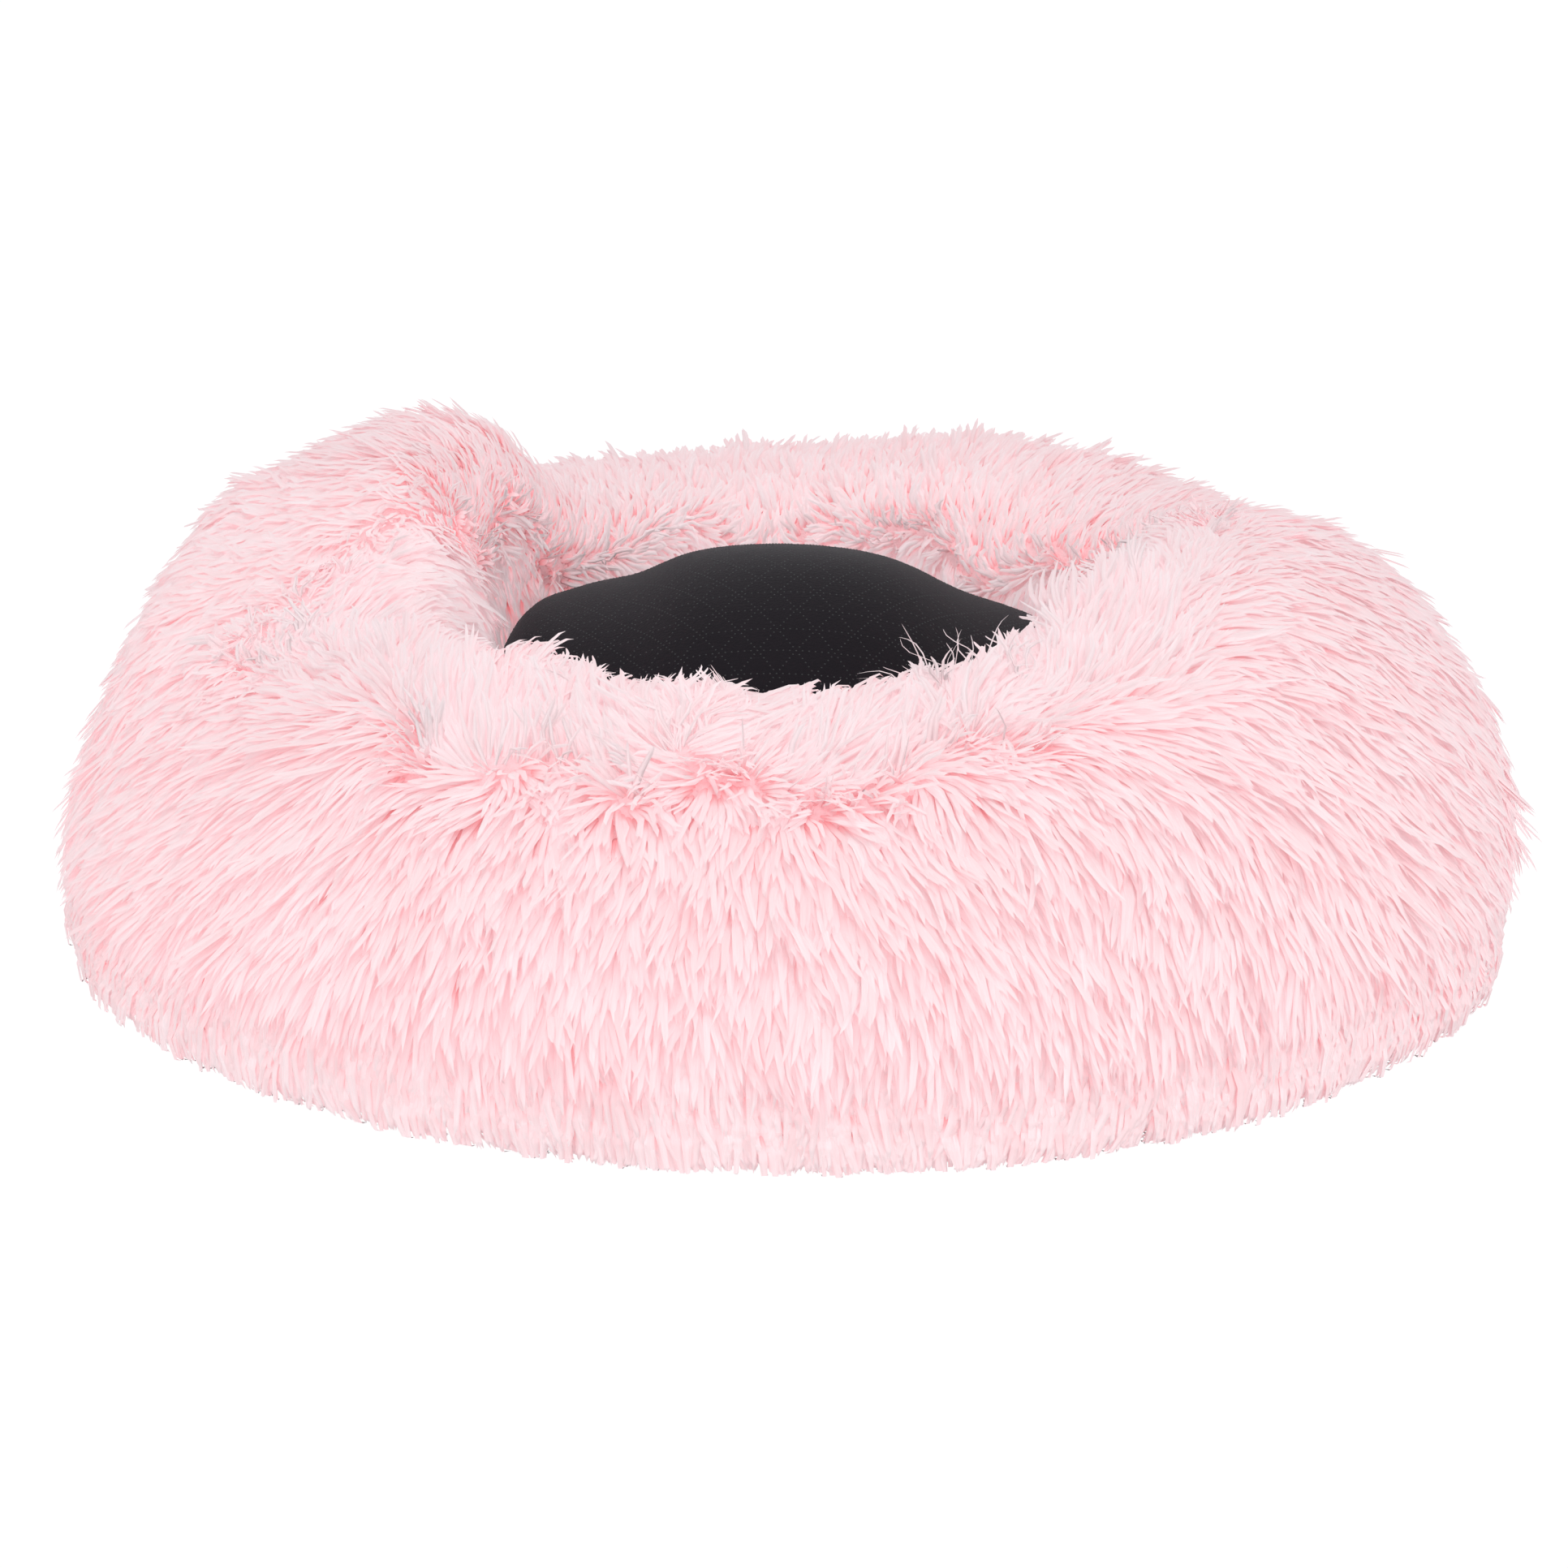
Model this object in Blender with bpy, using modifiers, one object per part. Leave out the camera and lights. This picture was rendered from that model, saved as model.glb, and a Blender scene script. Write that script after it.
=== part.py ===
# Round plush pet bed: a stuffed ring round a well, and a loose domed cushion that lies in
# the well with its non-slip side up. Metres, +Z up. The origin is on the floor under the
# middle of the bed and the front faces -Y. Bearings are in degrees from the front,
# positive towards +X. The ring is measured over its pile.
import math

import bpy

# ring
RING_RADIUS = 0.250  # widest circle, close to the floor
FOOT_RADIUS = 0.220  # floor seam of the outer wall
WIDEST_HEIGHT = 0.012
CREST_RADIUS = 0.131
CREST_HEIGHT = 0.122  # at the front, where the rim is lowest
LIP_RADIUS = 0.104  # narrowest part of the well
LIP_HEIGHT = 0.076
WELL_RADIUS = 0.112  # foot of the inner wall
PILE_DEPTH = 0.012  # backing and the pile that lies on it
CREST_TUCK = 0.003  # how deep the crest seam lies in the pile

# the rim sags and swells: bearing, rise as a share of the crest height, spread in degrees
RIM_SWELL_SHARES = (
    (75, 0.27, 41),
    (154, 0.08, 18),
    (234, 0.21, 12),
    (258, 0.33, 20),
)
LEAN_BEARING = -14  # where the outer wall leans in most, opposite its fullest part
LEAN_SHARE = 0.147

# base of the bed
UNDERSIDE_THICKNESS = 0.002
PAD_THICKNESS = 0.012
FLOOR_THICKNESS = 0.004
EDGE_ROUND = 0.0006  # of a flat panel's edge

# loose cushion
CUSHION_CLEARANCE = 0.004  # to the lip of the well, all round
CROWN_RADIUS = 0.164  # sphere that the domed face follows
SHOULDER_RADIUS = 0.031
CUSHION_HEIGHT = 0.108
CUSHION_SEAM_SHARE = 0.42  # height of the edge seam in the cushion's height
HEEL_RADIUS = 0.034
NON_SLIP_THICKNESS = 0.0025
CUSHION_PLUSH_THICKNESS = 0.006
SEAM_TUCK = 0.005  # how far the edge seam draws the sides in
SEAM_DRAW = 0.009  # height of the side that it draws in

SEAT_GAP = 0.0003  # between pieces that touch

RING_STEPS = 56  # a multiple of four, so that turned layers and discs share their corners
CUSHION_STEPS = 48

seam_height = UNDERSIDE_THICKNESS + SEAT_GAP
pad_top = seam_height + PAD_THICKNESS
floor_top = pad_top + SEAT_GAP + FLOOR_THICKNESS
cushion_base = floor_top + SEAT_GAP
cushion_radius = LIP_RADIUS - CUSHION_CLEARANCE
cushion_seam = CUSHION_HEIGHT * CUSHION_SEAM_SHARE


def clear_scene():
    for obj in list(bpy.data.objects):
        bpy.data.objects.remove(obj, do_unlink=True)


def make_collection(name):
    collection = bpy.data.collections.new(name)
    bpy.context.scene.collection.children.link(collection)
    return collection


def make_material(name, colour, roughness):
    material = bpy.data.materials.new(name)
    material.use_nodes = True
    shader = material.node_tree.nodes["Principled BSDF"]
    shader.inputs["Base Color"].default_value = (*colour, 1)
    shader.inputs["Roughness"].default_value = roughness
    shader.inputs["Metallic"].default_value = 0
    material.diffuse_color = (*colour, 1)
    return material


def quarter(steps, first=0, last=None):
    # angles of a quarter turn cut in equal steps
    last = steps if last is None else last
    return [math.pi / 2 * i / steps for i in range(first, last + 1)]


def outer_wall(depth):
    # floor seam, widest circle, crest
    points = []
    for a in quarter(2, last=1):
        r = FOOT_RADIUS + (RING_RADIUS - FOOT_RADIUS) * math.sin(a) - depth
        points.append((r, seam_height + (WIDEST_HEIGHT - seam_height) * (1 - math.cos(a))))
    for a in quarter(7):
        r = CREST_RADIUS + (RING_RADIUS - CREST_RADIUS - depth) * math.cos(a)
        points.append((r, WIDEST_HEIGHT + (CREST_HEIGHT - WIDEST_HEIGHT - depth) * math.sin(a)))
    return points


def inner_wall(depth):
    # crest, lip of the well, and straight down past the well's floor to the foot
    points = []
    for a in quarter(4):
        r = CREST_RADIUS - (CREST_RADIUS - LIP_RADIUS - depth) * math.sin(a)
        points.append((r, LIP_HEIGHT + (CREST_HEIGHT - LIP_HEIGHT - depth) * math.cos(a)))
    for a in quarter(3, first=1):
        r = LIP_RADIUS + (WELL_RADIUS - LIP_RADIUS) * (1 - math.cos(a)) + depth
        points.append((r, floor_top + (LIP_HEIGHT - floor_top) * (1 - math.sin(a))))
    points.append((WELL_RADIUS + depth, seam_height))
    return points


def swell(bearing):
    # height that the stuffing adds to the rim at this bearing
    rise = 0
    for centre, share, spread in RIM_SWELL_SHARES:
        off = (bearing - centre + 180) % 360 - 180
        rise += CREST_HEIGHT * share * math.exp(-((off / spread) ** 2))
    return rise


def settle(point):
    # one smooth movement for every layer of the ring, so that they stay nested:
    # the outer wall leans or bulges about the crest circle, and the rim rises
    bearing = math.degrees(math.atan2(point.x, -point.y))
    r = math.hypot(point.x, point.y)
    out = (r - CREST_RADIUS) / (RING_RADIUS - CREST_RADIUS)
    up = (point.z - WIDEST_HEIGHT) / (CREST_HEIGHT - WIDEST_HEIGHT)
    if up <= 0:
        return
    if out > 0:
        lean = LEAN_SHARE * math.cos(math.radians(bearing - LEAN_BEARING))
        fullness = 1 - lean * math.sin(2 * math.atan2(up, out))
        out *= fullness
        up *= fullness
        new_r = CREST_RADIUS + out * (RING_RADIUS - CREST_RADIUS)
        point.x *= new_r / r
        point.y *= new_r / r
    point.z = WIDEST_HEIGHT + up * (CREST_HEIGHT - WIDEST_HEIGHT + swell(bearing))


def turn(name, outline, steps, closed, collection, material, base=0):
    # a profile at +X, turned about Z by a Screw modifier and kept as a mesh
    profile = bpy.data.meshes.new(name + "_profile")
    edges = [(i, i + 1) for i in range(len(outline) - 1)]
    if closed:
        edges.append((len(outline) - 1, 0))
    profile.from_pydata([(r, 0, z - base) for r, z in outline], edges, [])
    helper = bpy.data.objects.new(name + "_profile", profile)
    bpy.context.scene.collection.objects.link(helper)
    screw = helper.modifiers.new("turn", "SCREW")
    screw.axis = "Z"
    screw.steps = screw.render_steps = steps
    screw.use_merge_vertices = True
    screw.merge_threshold = SEAT_GAP / 10
    graph = bpy.context.evaluated_depsgraph_get()
    mesh = bpy.data.meshes.new_from_object(helper.evaluated_get(graph))
    bpy.data.objects.remove(helper, do_unlink=True)
    bpy.data.meshes.remove(profile)
    mesh.name = name
    obj = bpy.data.objects.new(name, mesh)
    obj.location.z = base
    mesh.materials.clear()
    mesh.materials.append(material)
    collection.objects.link(obj)
    return obj


def soften(obj, angle=50):
    obj.data.shade_smooth()
    obj.data.set_sharp_from_angle(angle=math.radians(angle))


def tucked(outline, end, side=0):
    # the outline with its crest end drawn down into the pile, and half a gap to one side
    drawn = list(outline)
    r, z = drawn[end]
    drawn[end] = (r + side * SEAT_GAP / 2, z - CREST_TUCK)
    return drawn


def make_ring(collection, plush, fibre):
    outer_face = tucked(outer_wall(0), -1, side=1)
    outer_back = tucked(outer_wall(PILE_DEPTH), -1, side=1)
    inner_face = tucked(inner_wall(0), 0, side=-1)
    inner_back = tucked(inner_wall(PILE_DEPTH), 0, side=-1)
    core_depth = PILE_DEPTH + SEAT_GAP
    core = tucked(outer_wall(core_depth), -1)[::-1] + inner_wall(core_depth)[:0:-1]
    pieces = [
        turn("outer_wall_panel", outer_face[::-1] + outer_back, RING_STEPS, True, collection, plush),
        turn("inner_wall_panel", inner_back + inner_face[::-1], RING_STEPS, True, collection, plush),
        turn("ring_filling", core, RING_STEPS, True, collection, fibre),
    ]
    for piece in pieces:
        for vertex in piece.data.vertices:
            settle(vertex.co)
        facets = piece.modifiers.new("facets that match the next layer's", "TRIANGULATE")
        facets.quad_method = "SHORTEST_DIAGONAL"
        soften(piece)
    return pieces


def make_disc(name, radius, low, thickness, collection, material):
    bpy.ops.mesh.primitive_cylinder_add(
        vertices=RING_STEPS, radius=radius, depth=thickness, location=(0, 0, low + thickness / 2)
    )
    obj = bpy.context.object
    obj.name = obj.data.name = name
    for owner in list(obj.users_collection):
        owner.objects.unlink(obj)
    collection.objects.link(obj)
    obj.data.materials.append(material)
    edge = obj.modifiers.new("rolled edge", "BEVEL")
    edge.width = EDGE_ROUND
    edge.segments = 2
    edge.limit_method = "ANGLE"
    soften(obj)
    return obj


def domed_face(thickness):
    # crown, shoulder and the side above the edge seam, at a depth under the fabric's face
    reach = (cushion_radius - SHOULDER_RADIUS) / (CROWN_RADIUS - SHOULDER_RADIUS)
    turn_in = math.asin(reach)
    shoulder = CUSHION_HEIGHT - CROWN_RADIUS + (CROWN_RADIUS - SHOULDER_RADIUS) * math.cos(turn_in)
    points = []
    for i in range(5):
        a = turn_in * i / 5
        sphere = CROWN_RADIUS - thickness
        points.append((sphere * math.sin(a), CUSHION_HEIGHT - CROWN_RADIUS + sphere * math.cos(a)))
    for i in range(4):
        a = turn_in + (math.pi / 2 - turn_in) * i / 3
        roll = SHOULDER_RADIUS - thickness
        points.append(
            (cushion_radius - SHOULDER_RADIUS + roll * math.sin(a), shoulder + roll * math.cos(a))
        )
    points.append((cushion_radius - thickness, cushion_seam + SEAM_DRAW))
    points.append((cushion_radius - SEAM_TUCK - thickness, cushion_seam + SEAT_GAP / 2))
    return points


def resting_face(thickness):
    # the side under the edge seam, the heel and the flat that rests on the well's floor
    points = [
        (cushion_radius - SEAM_TUCK - thickness, cushion_seam - SEAT_GAP / 2),
        (cushion_radius - thickness, cushion_seam - SEAM_DRAW),
    ]
    for a in quarter(3):
        roll = HEEL_RADIUS - thickness
        points.append(
            (cushion_radius - HEEL_RADIUS + roll * math.cos(a), HEEL_RADIUS - roll * math.sin(a))
        )
    points.append((0, thickness))
    return points


def make_cushion(collection, non_slip, plush, fibre):
    def raised(outline):
        return [(r, z + cushion_base) for r, z in outline]

    top = domed_face(0) + domed_face(NON_SLIP_THICKNESS)[::-1]
    bottom = resting_face(CUSHION_PLUSH_THICKNESS)[::-1] + resting_face(0)
    core = domed_face(CUSHION_PLUSH_THICKNESS + SEAT_GAP) + resting_face(
        CUSHION_PLUSH_THICKNESS + SEAT_GAP
    )
    pieces = [
        turn("cushion_non_slip_face", raised(top), CUSHION_STEPS, False, collection, non_slip, cushion_base),
        turn("cushion_plush_face", raised(bottom), CUSHION_STEPS, False, collection, plush, cushion_base),
        turn("cushion_filling", raised(core), CUSHION_STEPS, False, collection, fibre, cushion_base),
    ]
    lift = bpy.data.objects.new("cushion_lift", None)
    lift.location.z = cushion_base
    collection.objects.link(lift)
    for piece in pieces:
        piece.parent = lift
        piece.location.z = 0
        soften(piece)
    return pieces


def main():
    clear_scene()
    bed = make_collection("plush_pet_bed")
    plush = make_material("plush", (0.95, 0.69, 0.72), 0.95)
    non_slip = make_material("non_slip_fabric", (0.026, 0.022, 0.028), 0.85)
    lining = make_material("lining", (0.85, 0.62, 0.65), 0.9)
    fibre = make_material("polyester_fibre", (0.88, 0.88, 0.86), 1)

    make_ring(bed, plush, fibre)
    make_disc("underside_panel", FOOT_RADIUS, 0, UNDERSIDE_THICKNESS, bed, non_slip)
    floor_radius = WELL_RADIUS - SEAT_GAP
    make_disc("base_pad", floor_radius, seam_height, PAD_THICKNESS, bed, fibre)
    make_disc("well_floor_panel", floor_radius, pad_top + SEAT_GAP, FLOOR_THICKNESS, bed, lining)
    make_cushion(bed, non_slip, plush, fibre)


main()
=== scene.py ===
import math

import bmesh
import bpy
import numpy as np
from mathutils import Matrix, Vector


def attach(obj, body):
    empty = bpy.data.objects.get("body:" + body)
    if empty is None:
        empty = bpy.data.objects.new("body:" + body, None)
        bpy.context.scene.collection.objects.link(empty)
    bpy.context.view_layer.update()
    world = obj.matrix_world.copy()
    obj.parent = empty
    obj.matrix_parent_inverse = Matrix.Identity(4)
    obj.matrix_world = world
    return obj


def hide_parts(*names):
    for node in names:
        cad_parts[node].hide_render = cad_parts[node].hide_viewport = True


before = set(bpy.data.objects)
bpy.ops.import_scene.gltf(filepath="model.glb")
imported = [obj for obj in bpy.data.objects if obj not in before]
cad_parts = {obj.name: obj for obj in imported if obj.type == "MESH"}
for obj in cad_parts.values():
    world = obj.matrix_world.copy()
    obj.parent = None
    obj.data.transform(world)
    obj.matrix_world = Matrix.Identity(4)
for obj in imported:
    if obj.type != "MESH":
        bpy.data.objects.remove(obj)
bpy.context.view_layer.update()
print("frame loaded:", ", ".join(sorted(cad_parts)))


class Wire:
    # an output socket that can stand in a plain expression
    def __init__(self, desk, socket):
        self.desk, self.socket = desk, socket

    def __add__(self, other):
        return self.desk.join("ADD", self, other)

    def __radd__(self, other):
        return self.desk.join("ADD", other, self)

    def __sub__(self, other):
        return self.desk.join("SUBTRACT", self, other)

    def __rsub__(self, other):
        return self.desk.join("SUBTRACT", other, self)

    def __mul__(self, other):
        return self.desk.join("MULTIPLY", self, other)

    def __rmul__(self, other):
        return self.desk.join("MULTIPLY", other, self)

    def __pow__(self, other):
        return self.desk.join("POWER", self, other)

    def __rpow__(self, other):
        return self.desk.join("POWER", other, self)


class Desk:
    # adds nodes to one tree, for a material or for geometry
    def __init__(self, tree):
        self.tree = tree

    def node(self, kind, settings=None, sockets=None):
        made = self.tree.nodes.new(kind)
        row, column = divmod(len(self.tree.nodes), 12)
        made.location = (220 * column, -240 * row)
        for name, value in (settings or {}).items():
            if name == "stops":
                self.setStops(made.color_ramp, value)
            else:
                setattr(made, name, value)
        for name, value in (sockets or {}).items():
            if isinstance(name, int):
                socket = made.inputs[name]
            else:
                socket = next(s for s in made.inputs if s.name == name and s.enabled)
            self.plug(socket, value)
        return made

    def plug(self, socket, value):
        if isinstance(value, Wire):
            self.tree.links.new(value.socket, socket)
        elif hasattr(value, "is_output"):
            self.tree.links.new(value, socket)
        else:
            socket.default_value = value

    def wire(self, kind, settings=None, sockets=None, out=None):
        made = self.node(kind, settings, sockets)
        enabled = [s for s in made.outputs if s.enabled and (out is None or s.name == out)]
        return Wire(self, enabled[0])

    def join(self, operation, first, second):
        # numbers go through Math, vectors through Vector Math, and a vector times a number is scaled
        areVectors = [x.socket.type in ("VECTOR", "RGBA") if isinstance(x, Wire) else isinstance(x, tuple)
                      for x in (first, second)]
        if not any(areVectors):
            return self.math(operation, first, second)
        if operation == "MULTIPLY" and not all(areVectors):
            vector, number = (first, second) if areVectors[0] else (second, first)
            return self.wire("ShaderNodeVectorMath", {"operation": "SCALE"}, {0: vector, "Scale": number})
        return self.vector(operation, first, second)

    def math(self, operation, *values):
        return self.wire("ShaderNodeMath", {"operation": operation}, dict(enumerate(values)))

    def vector(self, operation, *values, out=None):
        return self.wire("ShaderNodeVectorMath", {"operation": operation}, dict(enumerate(values)), out)

    def parts(self, value):
        # the three numbers of a vector
        return [Wire(self, s) for s in self.node("ShaderNodeSeparateXYZ", {}, {0: value}).outputs]

    def between(self, value, low, high):
        # 0 below low, 1 above high, smooth between
        return self.wire("ShaderNodeMapRange", {"interpolation_type": "SMOOTHSTEP"},
                         {"Value": value, "From Min": low, "From Max": high})

    def named(self, name, kind="FLOAT"):
        return self.wire("GeometryNodeInputNamedAttribute", {"data_type": kind}, {"Name": name})

    def keep(self, geometry, name, value, kind=None, domain="POINT"):
        # stores a value on the geometry
        kind = kind or ("FLOAT_VECTOR" if value.socket.type == "VECTOR" else "FLOAT")
        return self.wire("GeometryNodeStoreNamedAttribute", {"data_type": kind, "domain": domain},
                         {"Geometry": geometry, "Name": name, "Value": value})

    def setStops(self, ramp, stops):
        while len(ramp.elements) < len(stops):
            ramp.elements.new(0.5)
        for element, (place, colour) in zip(ramp.elements, stops):
            element.position = place
            element.color = (*colour, 1)


def newMaterial(name, viewColour, uniform):
    # uniform holds the values of the shader's own sockets
    material = bpy.data.materials.new(name)
    material.use_nodes = True
    material.diffuse_color = (*viewColour, 1)
    desk = Desk(material.node_tree)
    shader = material.node_tree.nodes["Principled BSDF"]
    for socketName, value in uniform.items():
        shader.inputs[socketName].default_value = value
    return material, desk, shader


def mixColours(desk, factor, first, second):
    made = desk.node("ShaderNodeMix", {"data_type": "RGBA", "blend_type": "MIX"})
    colours = [s for s in made.inputs if s.type == "RGBA"]
    desk.plug(next(s for s in made.inputs if s.name == "Factor" and s.enabled), factor)
    for socket, value in zip(colours, (first, second)):
        desk.plug(socket, value if isinstance(value, Wire) else (*value, 1))
    return Wire(desk, next(s for s in made.outputs if s.type == "RGBA"))


def objectPlace(desk):
    return desk.wire("ShaderNodeTexCoord", out="Object")


def noise(desk, where, scale, detail, roughness=0.5):
    sockets = {"Vector": where, "Scale": scale, "Detail": detail, "Roughness": roughness}
    return desk.wire("ShaderNodeTexNoise", {}, sockets)


def paint(desk, shader, colour):
    desk.plug(shader.inputs["Base Color"], colour)


def bump(desk, shader, height, distance, strength=1.0):
    made = desk.wire("ShaderNodeBump", {}, {"Height": height, "Distance": distance, "Strength": strength})
    desk.plug(shader.inputs["Normal"], made)


def newTree(name, inputs):
    # an empty Geometry Nodes tree with its inputs, given as (name, kind)
    tree = bpy.data.node_groups.new(name, "GeometryNodeTree")
    tree.interface.new_socket("Geometry", in_out="OUTPUT", socket_type="NodeSocketGeometry")
    for socketName, kind in inputs:
        tree.interface.new_socket(socketName, in_out="INPUT", socket_type="NodeSocket" + kind)
    desk = Desk(tree)
    given = {s.name: Wire(desk, s) for s in desk.node("NodeGroupInput").outputs if s.name}
    return tree, desk, given


def addObject(name, data, *materials):
    for material in materials:
        data.materials.append(material)
    obj = bpy.data.objects.new(name, data)
    bpy.context.scene.collection.objects.link(obj)
    return obj


def setInputs(modifier, values):
    for item in modifier.node_group.interface.items_tree:
        if item.item_type == "SOCKET" and item.in_out == "INPUT" and item.name in values:
            modifier[item.identifier] = values[item.name]


def faceOutwards(mesh):
    if sum(p.area * p.normal.dot(p.center) for p in mesh.polygons) < 0:
        mesh.flip_normals()


def lathe(name, line, bearings=96):
    # turns a line of (radius, height), from the top down, about the upright axis
    points, rows, faces = [], [], []
    for r, z in line:
        if r < 1e-6:
            rows.append([len(points)] * bearings)
            points.append((0, 0, z))
            continue
        rows.append(list(range(len(points), len(points) + bearings)))
        for turned in np.arange(bearings) * 2 * math.pi / bearings:
            points.append((r * math.sin(turned), -r * math.cos(turned), z))
    for above, below in zip(rows, rows[1:]):
        for k, j in zip(range(bearings), [*range(1, bearings), 0]):
            faces.append(list(dict.fromkeys((above[k], below[k], below[j], above[j]))))
    mesh = bpy.data.meshes.new(name)
    mesh.from_pydata(points, [], faces)
    mesh.shade_smooth()
    return mesh


def pointsOf(mesh):
    values = np.empty(len(mesh.vertices) * 3, np.float32)
    mesh.vertices.foreach_get("co", values)
    return values.reshape(-1, 3).astype(float)


def keepPoints(mesh, points):
    mesh.vertices.foreach_set("co", points.astype(np.float32).ravel())
    mesh.update()


def keepValues(mesh, values, domain="POINT"):
    # values: for each name one number or one vector for every point or face, or one number for all of them
    count = len(mesh.vertices if domain == "POINT" else mesh.polygons)
    for name, found in values.items():
        found = np.broadcast_to(found, count) if np.ndim(found) == 0 else np.asarray(found)
        kind, field = ("FLOAT_VECTOR", "vector") if found.size == 3 * count else ("FLOAT", "value")
        if found.dtype.kind == "i":
            kind = "INT"
        layer = mesh.attributes.new(name, kind, domain)
        layer.data.foreach_set(field, found.astype(np.int32 if kind == "INT" else np.float32).ravel())


def valuesOf(mesh, name):
    layer = mesh.attributes[name]
    wide = layer.data_type == "FLOAT_VECTOR"
    values = np.empty(len(layer.data) * (3 if wide else 1), np.float32)
    layer.data.foreach_get("vector" if wide else "value", values)
    return values.reshape(-1, 3).astype(float) if wide else values.astype(float)


def applied(obj):
    # the object's evaluated mesh, with its modifiers gone
    graph = bpy.context.evaluated_depsgraph_get()
    graph.update()
    mesh = bpy.data.meshes.new_from_object(obj.evaluated_get(graph))
    obj.modifiers.clear()
    return mesh


def grow(tree, carrier, name, values):
    # runs a Geometry Nodes tree on the carrier's mesh and keeps the result as a plain mesh
    helper = addObject(name + "Carrier", carrier)
    modifier = helper.modifiers.new(name, "NODES")
    modifier.node_group = tree
    setInputs(modifier, values)
    mesh = applied(helper)
    bpy.data.objects.remove(helper, do_unlink=True)
    mesh.name = name
    return addObject(name, mesh)


# camera: the photograph's place, turn and framing, worked out for a picture 1932 wide
camera = {
    "target": (0, 0, 0.07),
    "distance": 1.8,
    "elevation": 16.9,
    "pixelsPerRadian": 6539,
    "targetOffset": (2.3, 79.0),  # from the picture's middle, right and up, in pixels
    "roll": 0.98,
    "pictureWidth": 1932,
    "sensorWidth": 36,
    "clip": (0.05, 50),
}


def makeCamera():
    data = bpy.data.cameras.new("photoCamera")
    data.sensor_width = camera["sensorWidth"]
    data.lens = camera["pixelsPerRadian"] * camera["sensorWidth"] / camera["pictureWidth"]
    obj = addObject("photoCamera", data)
    tilt = math.radians(camera["elevation"])
    away = Vector((0, -math.cos(tilt), math.sin(tilt)))
    place = Vector(camera["target"]) + away * camera["distance"]
    right, up = camera["targetOffset"]
    turn = (
        Matrix.Rotation(math.pi / 2 - tilt, 4, "X")
        @ Matrix.Rotation(math.radians(camera["roll"]), 4, "Z")
        @ Matrix.Rotation(math.atan(right / camera["pixelsPerRadian"]), 4, "Y")
        @ Matrix.Rotation(-math.atan(up / camera["pixelsPerRadian"]), 4, "X")
    )
    obj.matrix_world = Matrix.Translation(place) @ turn
    data.clip_start, data.clip_end = camera["clip"]
    bpy.context.scene.camera = obj


studio = {
    "worldLevel": 0.43,  # of the sky's light on the bed; what is seen of the sky is white
    "lampAim": (0, 0, 0.06),
    "lamps": (  # name, place, width, level that it adds on a surface that faces it, whether it casts shadows
        ("topSoftbox", (0.3, -0.5, 2.4), 1.8, 0.20, True),
        ("frontFill", (-0.1, -2.6, 1.15), 1.9, 0.18, False),
        ("leftFill", (-2.2, -1.3, 1.1), 1.6, 0.29, False),
        ("rightFill", (2.2, -1.3, 1.1), 1.6, 0.16, False),
        ("lowFill", (2.4, -1.3, 0.34), 0.7, 0.10, True),
        ("backFill", (0.1, 1.3, 2.2), 1.6, 0.11, False),
        ("rearFill", (0.1, 2.6, 0.7), 1.6, 0.20, False),
    ),
    "floorSize": 9.0,
    "floorLevel": -0.0002,
    "floorLift": 0.88,  # share of the floor that glows, for the camera alone
    "floorGlow": 1.05,
}


def makeStudio():
    world = bpy.data.worlds.new("studio")
    bpy.context.scene.world = world
    world.use_nodes = True
    desk = Desk(world.node_tree)
    world.node_tree.nodes.clear()
    rays = desk.node("ShaderNodeLightPath")
    seen = [Wire(desk, rays.outputs[n]) for n in ("Is Camera Ray", "Is Glossy Ray", "Is Transmission Ray")]
    white = desk.math("MINIMUM", seen[0] + seen[1] + seen[2], 1.0)
    level = white * (1 - studio["worldLevel"]) + studio["worldLevel"]
    sky = desk.wire("ShaderNodeBackground", {}, {"Color": (1, 1, 1, 1), "Strength": level})
    desk.node("ShaderNodeOutputWorld", {}, {"Surface": sky})

    for name, place, width, level, shadows in studio["lamps"]:
        data = bpy.data.lights.new(name, "AREA")
        data.shape = "DISK"
        data.size = width
        data.use_shadow = shadows
        aim = Vector(studio["lampAim"]) - Vector(place)
        data.energy = level * math.pi ** 2 * aim.length_squared
        lamp = addObject(name, data)
        lamp.matrix_world = Matrix.Translation(place) @ aim.to_track_quat("-Z", "Y").to_matrix().to_4x4()

    uniform = {"Base Color": (0.93, 0.93, 0.93, 1), "Roughness": 0.9, "Specular IOR Level": 0.1}
    material, desk, shader = newMaterial("studioFloor", (0.95, 0.95, 0.95), uniform)
    seen = desk.wire("ShaderNodeLightPath", out="Is Camera Ray") * studio["floorLift"]
    glow = desk.node("ShaderNodeEmission", {}, {"Color": (1, 1, 1, 1), "Strength": studio["floorGlow"]})
    both = desk.node("ShaderNodeMixShader", {}, {0: seen, 1: shader.outputs[0], 2: glow.outputs[0]})
    desk.plug(material.node_tree.nodes["Material Output"].inputs["Surface"], both.outputs[0])
    half, level = studio["floorSize"] / 2, studio["floorLevel"]
    corners = [(x * half, y * half, level) for x, y in ((-1, -1), (1, -1), (1, 1), (-1, 1))]
    mesh = bpy.data.meshes.new("studioFloor")
    mesh.from_pydata(corners, [], [(0, 1, 2, 3)])
    floor = addObject("studioFloor", mesh, material)


makeCamera()
makeStudio()
bpy.context.scene.view_settings.view_transform = "Standard"
print("camera, lamps and floor made")

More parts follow.
